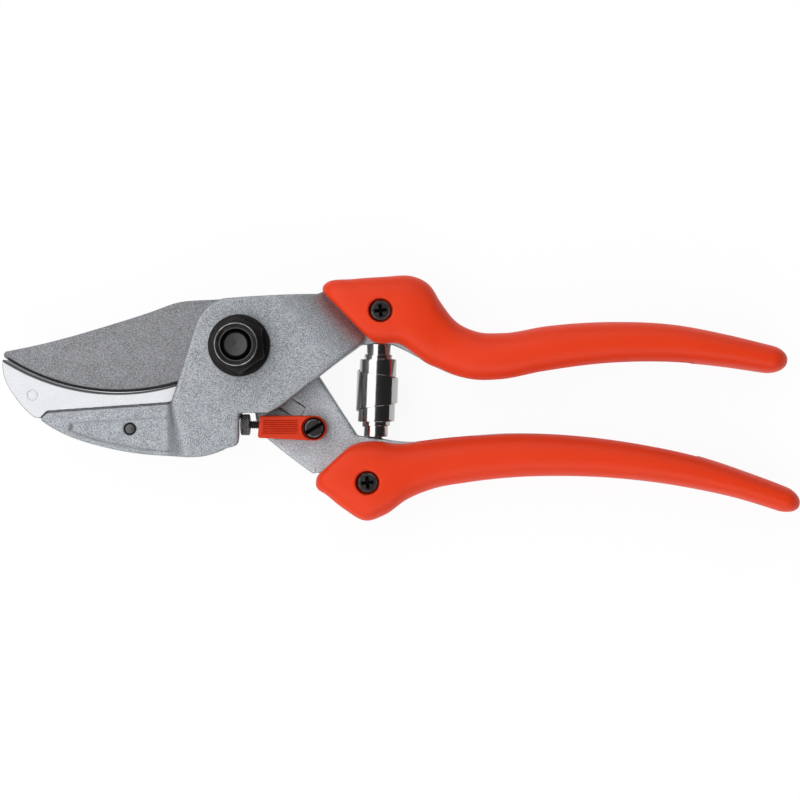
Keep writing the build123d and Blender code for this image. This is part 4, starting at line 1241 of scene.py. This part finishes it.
class SHEARS_OT_stage(bpy.types.Operator):
    """Makes the floor, the lamps, the world and the camera"""

    bl_idname = "shears.stage"
    bl_label = "Stage"

    def execute(self, context):
        scene = context.scene
        settings = scene.shears_stage
        scene.view_settings.view_transform = "Standard"

        corners = np.array([(-1, -1), (1, -1), (1, 1), (-1, 1)]) * FLOOR_SIZE / 2
        mesh = bpy.data.meshes.new("floor")
        mesh.from_pydata([(x, y, FLOOR_Z) for x, y in corners], [], [(0, 1, 2, 3)])
        floor = bpy.data.objects.new("floor", mesh)
        scene.collection.objects.link(floor)
        mesh.materials.append(self.floor_material(settings))

        target = Vector((settings.camera_at[0], settings.camera_at[1], 0.0))
        for name, away, power, width, depth in (
            ("key_lamp", (-0.47, 0.08, 0.76), settings.key, 1.30, 0.80),
            ("upper_lamp", (0.05, 0.75, 0.55), settings.side * 0.85, 1.20, 0.60),
            ("lower_lamp", (0.05, -0.75, 0.55), settings.side * 1.3, 1.20, 0.60),
        ):
            light = bpy.data.lights.new(name, "AREA")
            light.shape = "RECTANGLE"
            light.size = width
            light.size_y = depth
            light.energy = power
            lamp = bpy.data.objects.new(name, light)
            scene.collection.objects.link(lamp)
            lamp.location = target + Vector(away)
            lamp.rotation_euler = Vector(away).to_track_quat("Z", "Y").to_euler()

        self.light_world(scene, settings.fill)

        camera = bpy.data.objects.new("camera", bpy.data.cameras.new("camera"))
        scene.collection.objects.link(camera)
        camera.location = settings.camera_at
        camera.data.lens = settings.lens
        camera.data.sensor_width = SENSOR_WIDTH
        scene.camera = camera
        return {"FINISHED"}

    def floor_material(self, settings):
        """A pale floor that looks white where it is seen, with a faint shadow."""
        material, tree, shader, _ = new_material("pale_floor", Roughness=0.9, Specular_IOR_Level=0.0)
        fill_inputs(shader, {"Base Color": shade(settings.floor)})
        rays = add(tree, "ShaderNodeLightPath").outputs
        seen = math_node(tree, "MAXIMUM", rays["Is Camera Ray"], rays["Is Glossy Ray"])
        seen = math_node(tree, "MAXIMUM", seen, rays["Is Transmission Ray"])
        share = math_node(tree, "MULTIPLY", seen, 0.93)
        white = add(tree, "ShaderNodeEmission", {"Color": (1, 1, 1, 1), "Strength": 1.0}).outputs[0]
        mixed = add(tree, "ShaderNodeMixShader", {0: share, 1: shader.outputs[0], 2: white}).outputs[0]
        fill_inputs(tree.nodes["Material Output"], {"Surface": mixed})
        return material

    def light_world(self, scene, fill):
        """Soft light from all round, a quarter as strong from the right, and white where it is seen."""
        world = bpy.data.worlds.new("studio")
        scene.world = world
        world.use_nodes = True
        tree = world.node_tree
        way = add(tree, "ShaderNodeTexCoord").outputs["Generated"]
        side = add(tree, "ShaderNodeSeparateXYZ", {0: way}).outputs["X"]
        share = add(
            tree, "ShaderNodeMapRange", {"Value": side, "From Min": -1.0, "From Max": 0.6},
            interpolation_type="SMOOTHSTEP",
        ).outputs[0]
        colour = mix_colours(tree, share, *tones((fill,) * 3, 1.0, 0.25))
        seen = add(tree, "ShaderNodeLightPath").outputs["Is Camera Ray"]
        colour = mix_colours(tree, seen, colour, (1, 1, 1, 1))
        fill_inputs(tree.nodes["Background"], {"Color": colour})


OPERATORS = (
    SHEARS_OT_levers,
    SHEARS_OT_grips,
    SHEARS_OT_spring,
    SHEARS_OT_pivot,
    SHEARS_OT_anvil_pin,
    SHEARS_OT_screws,
    SHEARS_OT_stop_screw,
    SHEARS_OT_stage,
)


class SHEARS_PT_panel(bpy.types.Panel):
    """Lists the settings and the steps that dress the shears"""

    bl_idname = "SHEARS_PT_panel"
    bl_label = "Pruning shears"
    bl_space_type = "VIEW_3D"
    bl_region_type = "UI"
    bl_category = "Shears"

    def draw(self, context):
        layout = self.layout
        scene = context.scene
        for settings in (scene.shears_grips, scene.shears_metals, scene.shears_stage):
            column = layout.column()
            for name in settings.bl_rna.properties.keys():
                if name not in {"rna_type", "name"}:
                    column.prop(settings, name)
        for operator in OPERATORS:
            layout.operator(operator.bl_idname)


CLASSES = (GripSettings, MetalSettings, StageSettings, *OPERATORS, SHEARS_PT_panel)


def register():
    for each in CLASSES:
        bpy.utils.register_class(each)
    bpy.types.Scene.shears_grips = PointerProperty(type=GripSettings)
    bpy.types.Scene.shears_metals = PointerProperty(type=MetalSettings)
    bpy.types.Scene.shears_stage = PointerProperty(type=StageSettings)


def unregister():
    del bpy.types.Scene.shears_stage
    del bpy.types.Scene.shears_metals
    del bpy.types.Scene.shears_grips
    for each in reversed(CLASSES):
        bpy.utils.unregister_class(each)


def main():
    """Dresses the shears, one operator after another."""
    register()
    for operator in OPERATORS:
        group, name = operator.bl_idname.split(".")
        getattr(getattr(bpy.ops, group), name)()


if __name__ == "__main__":
    main()
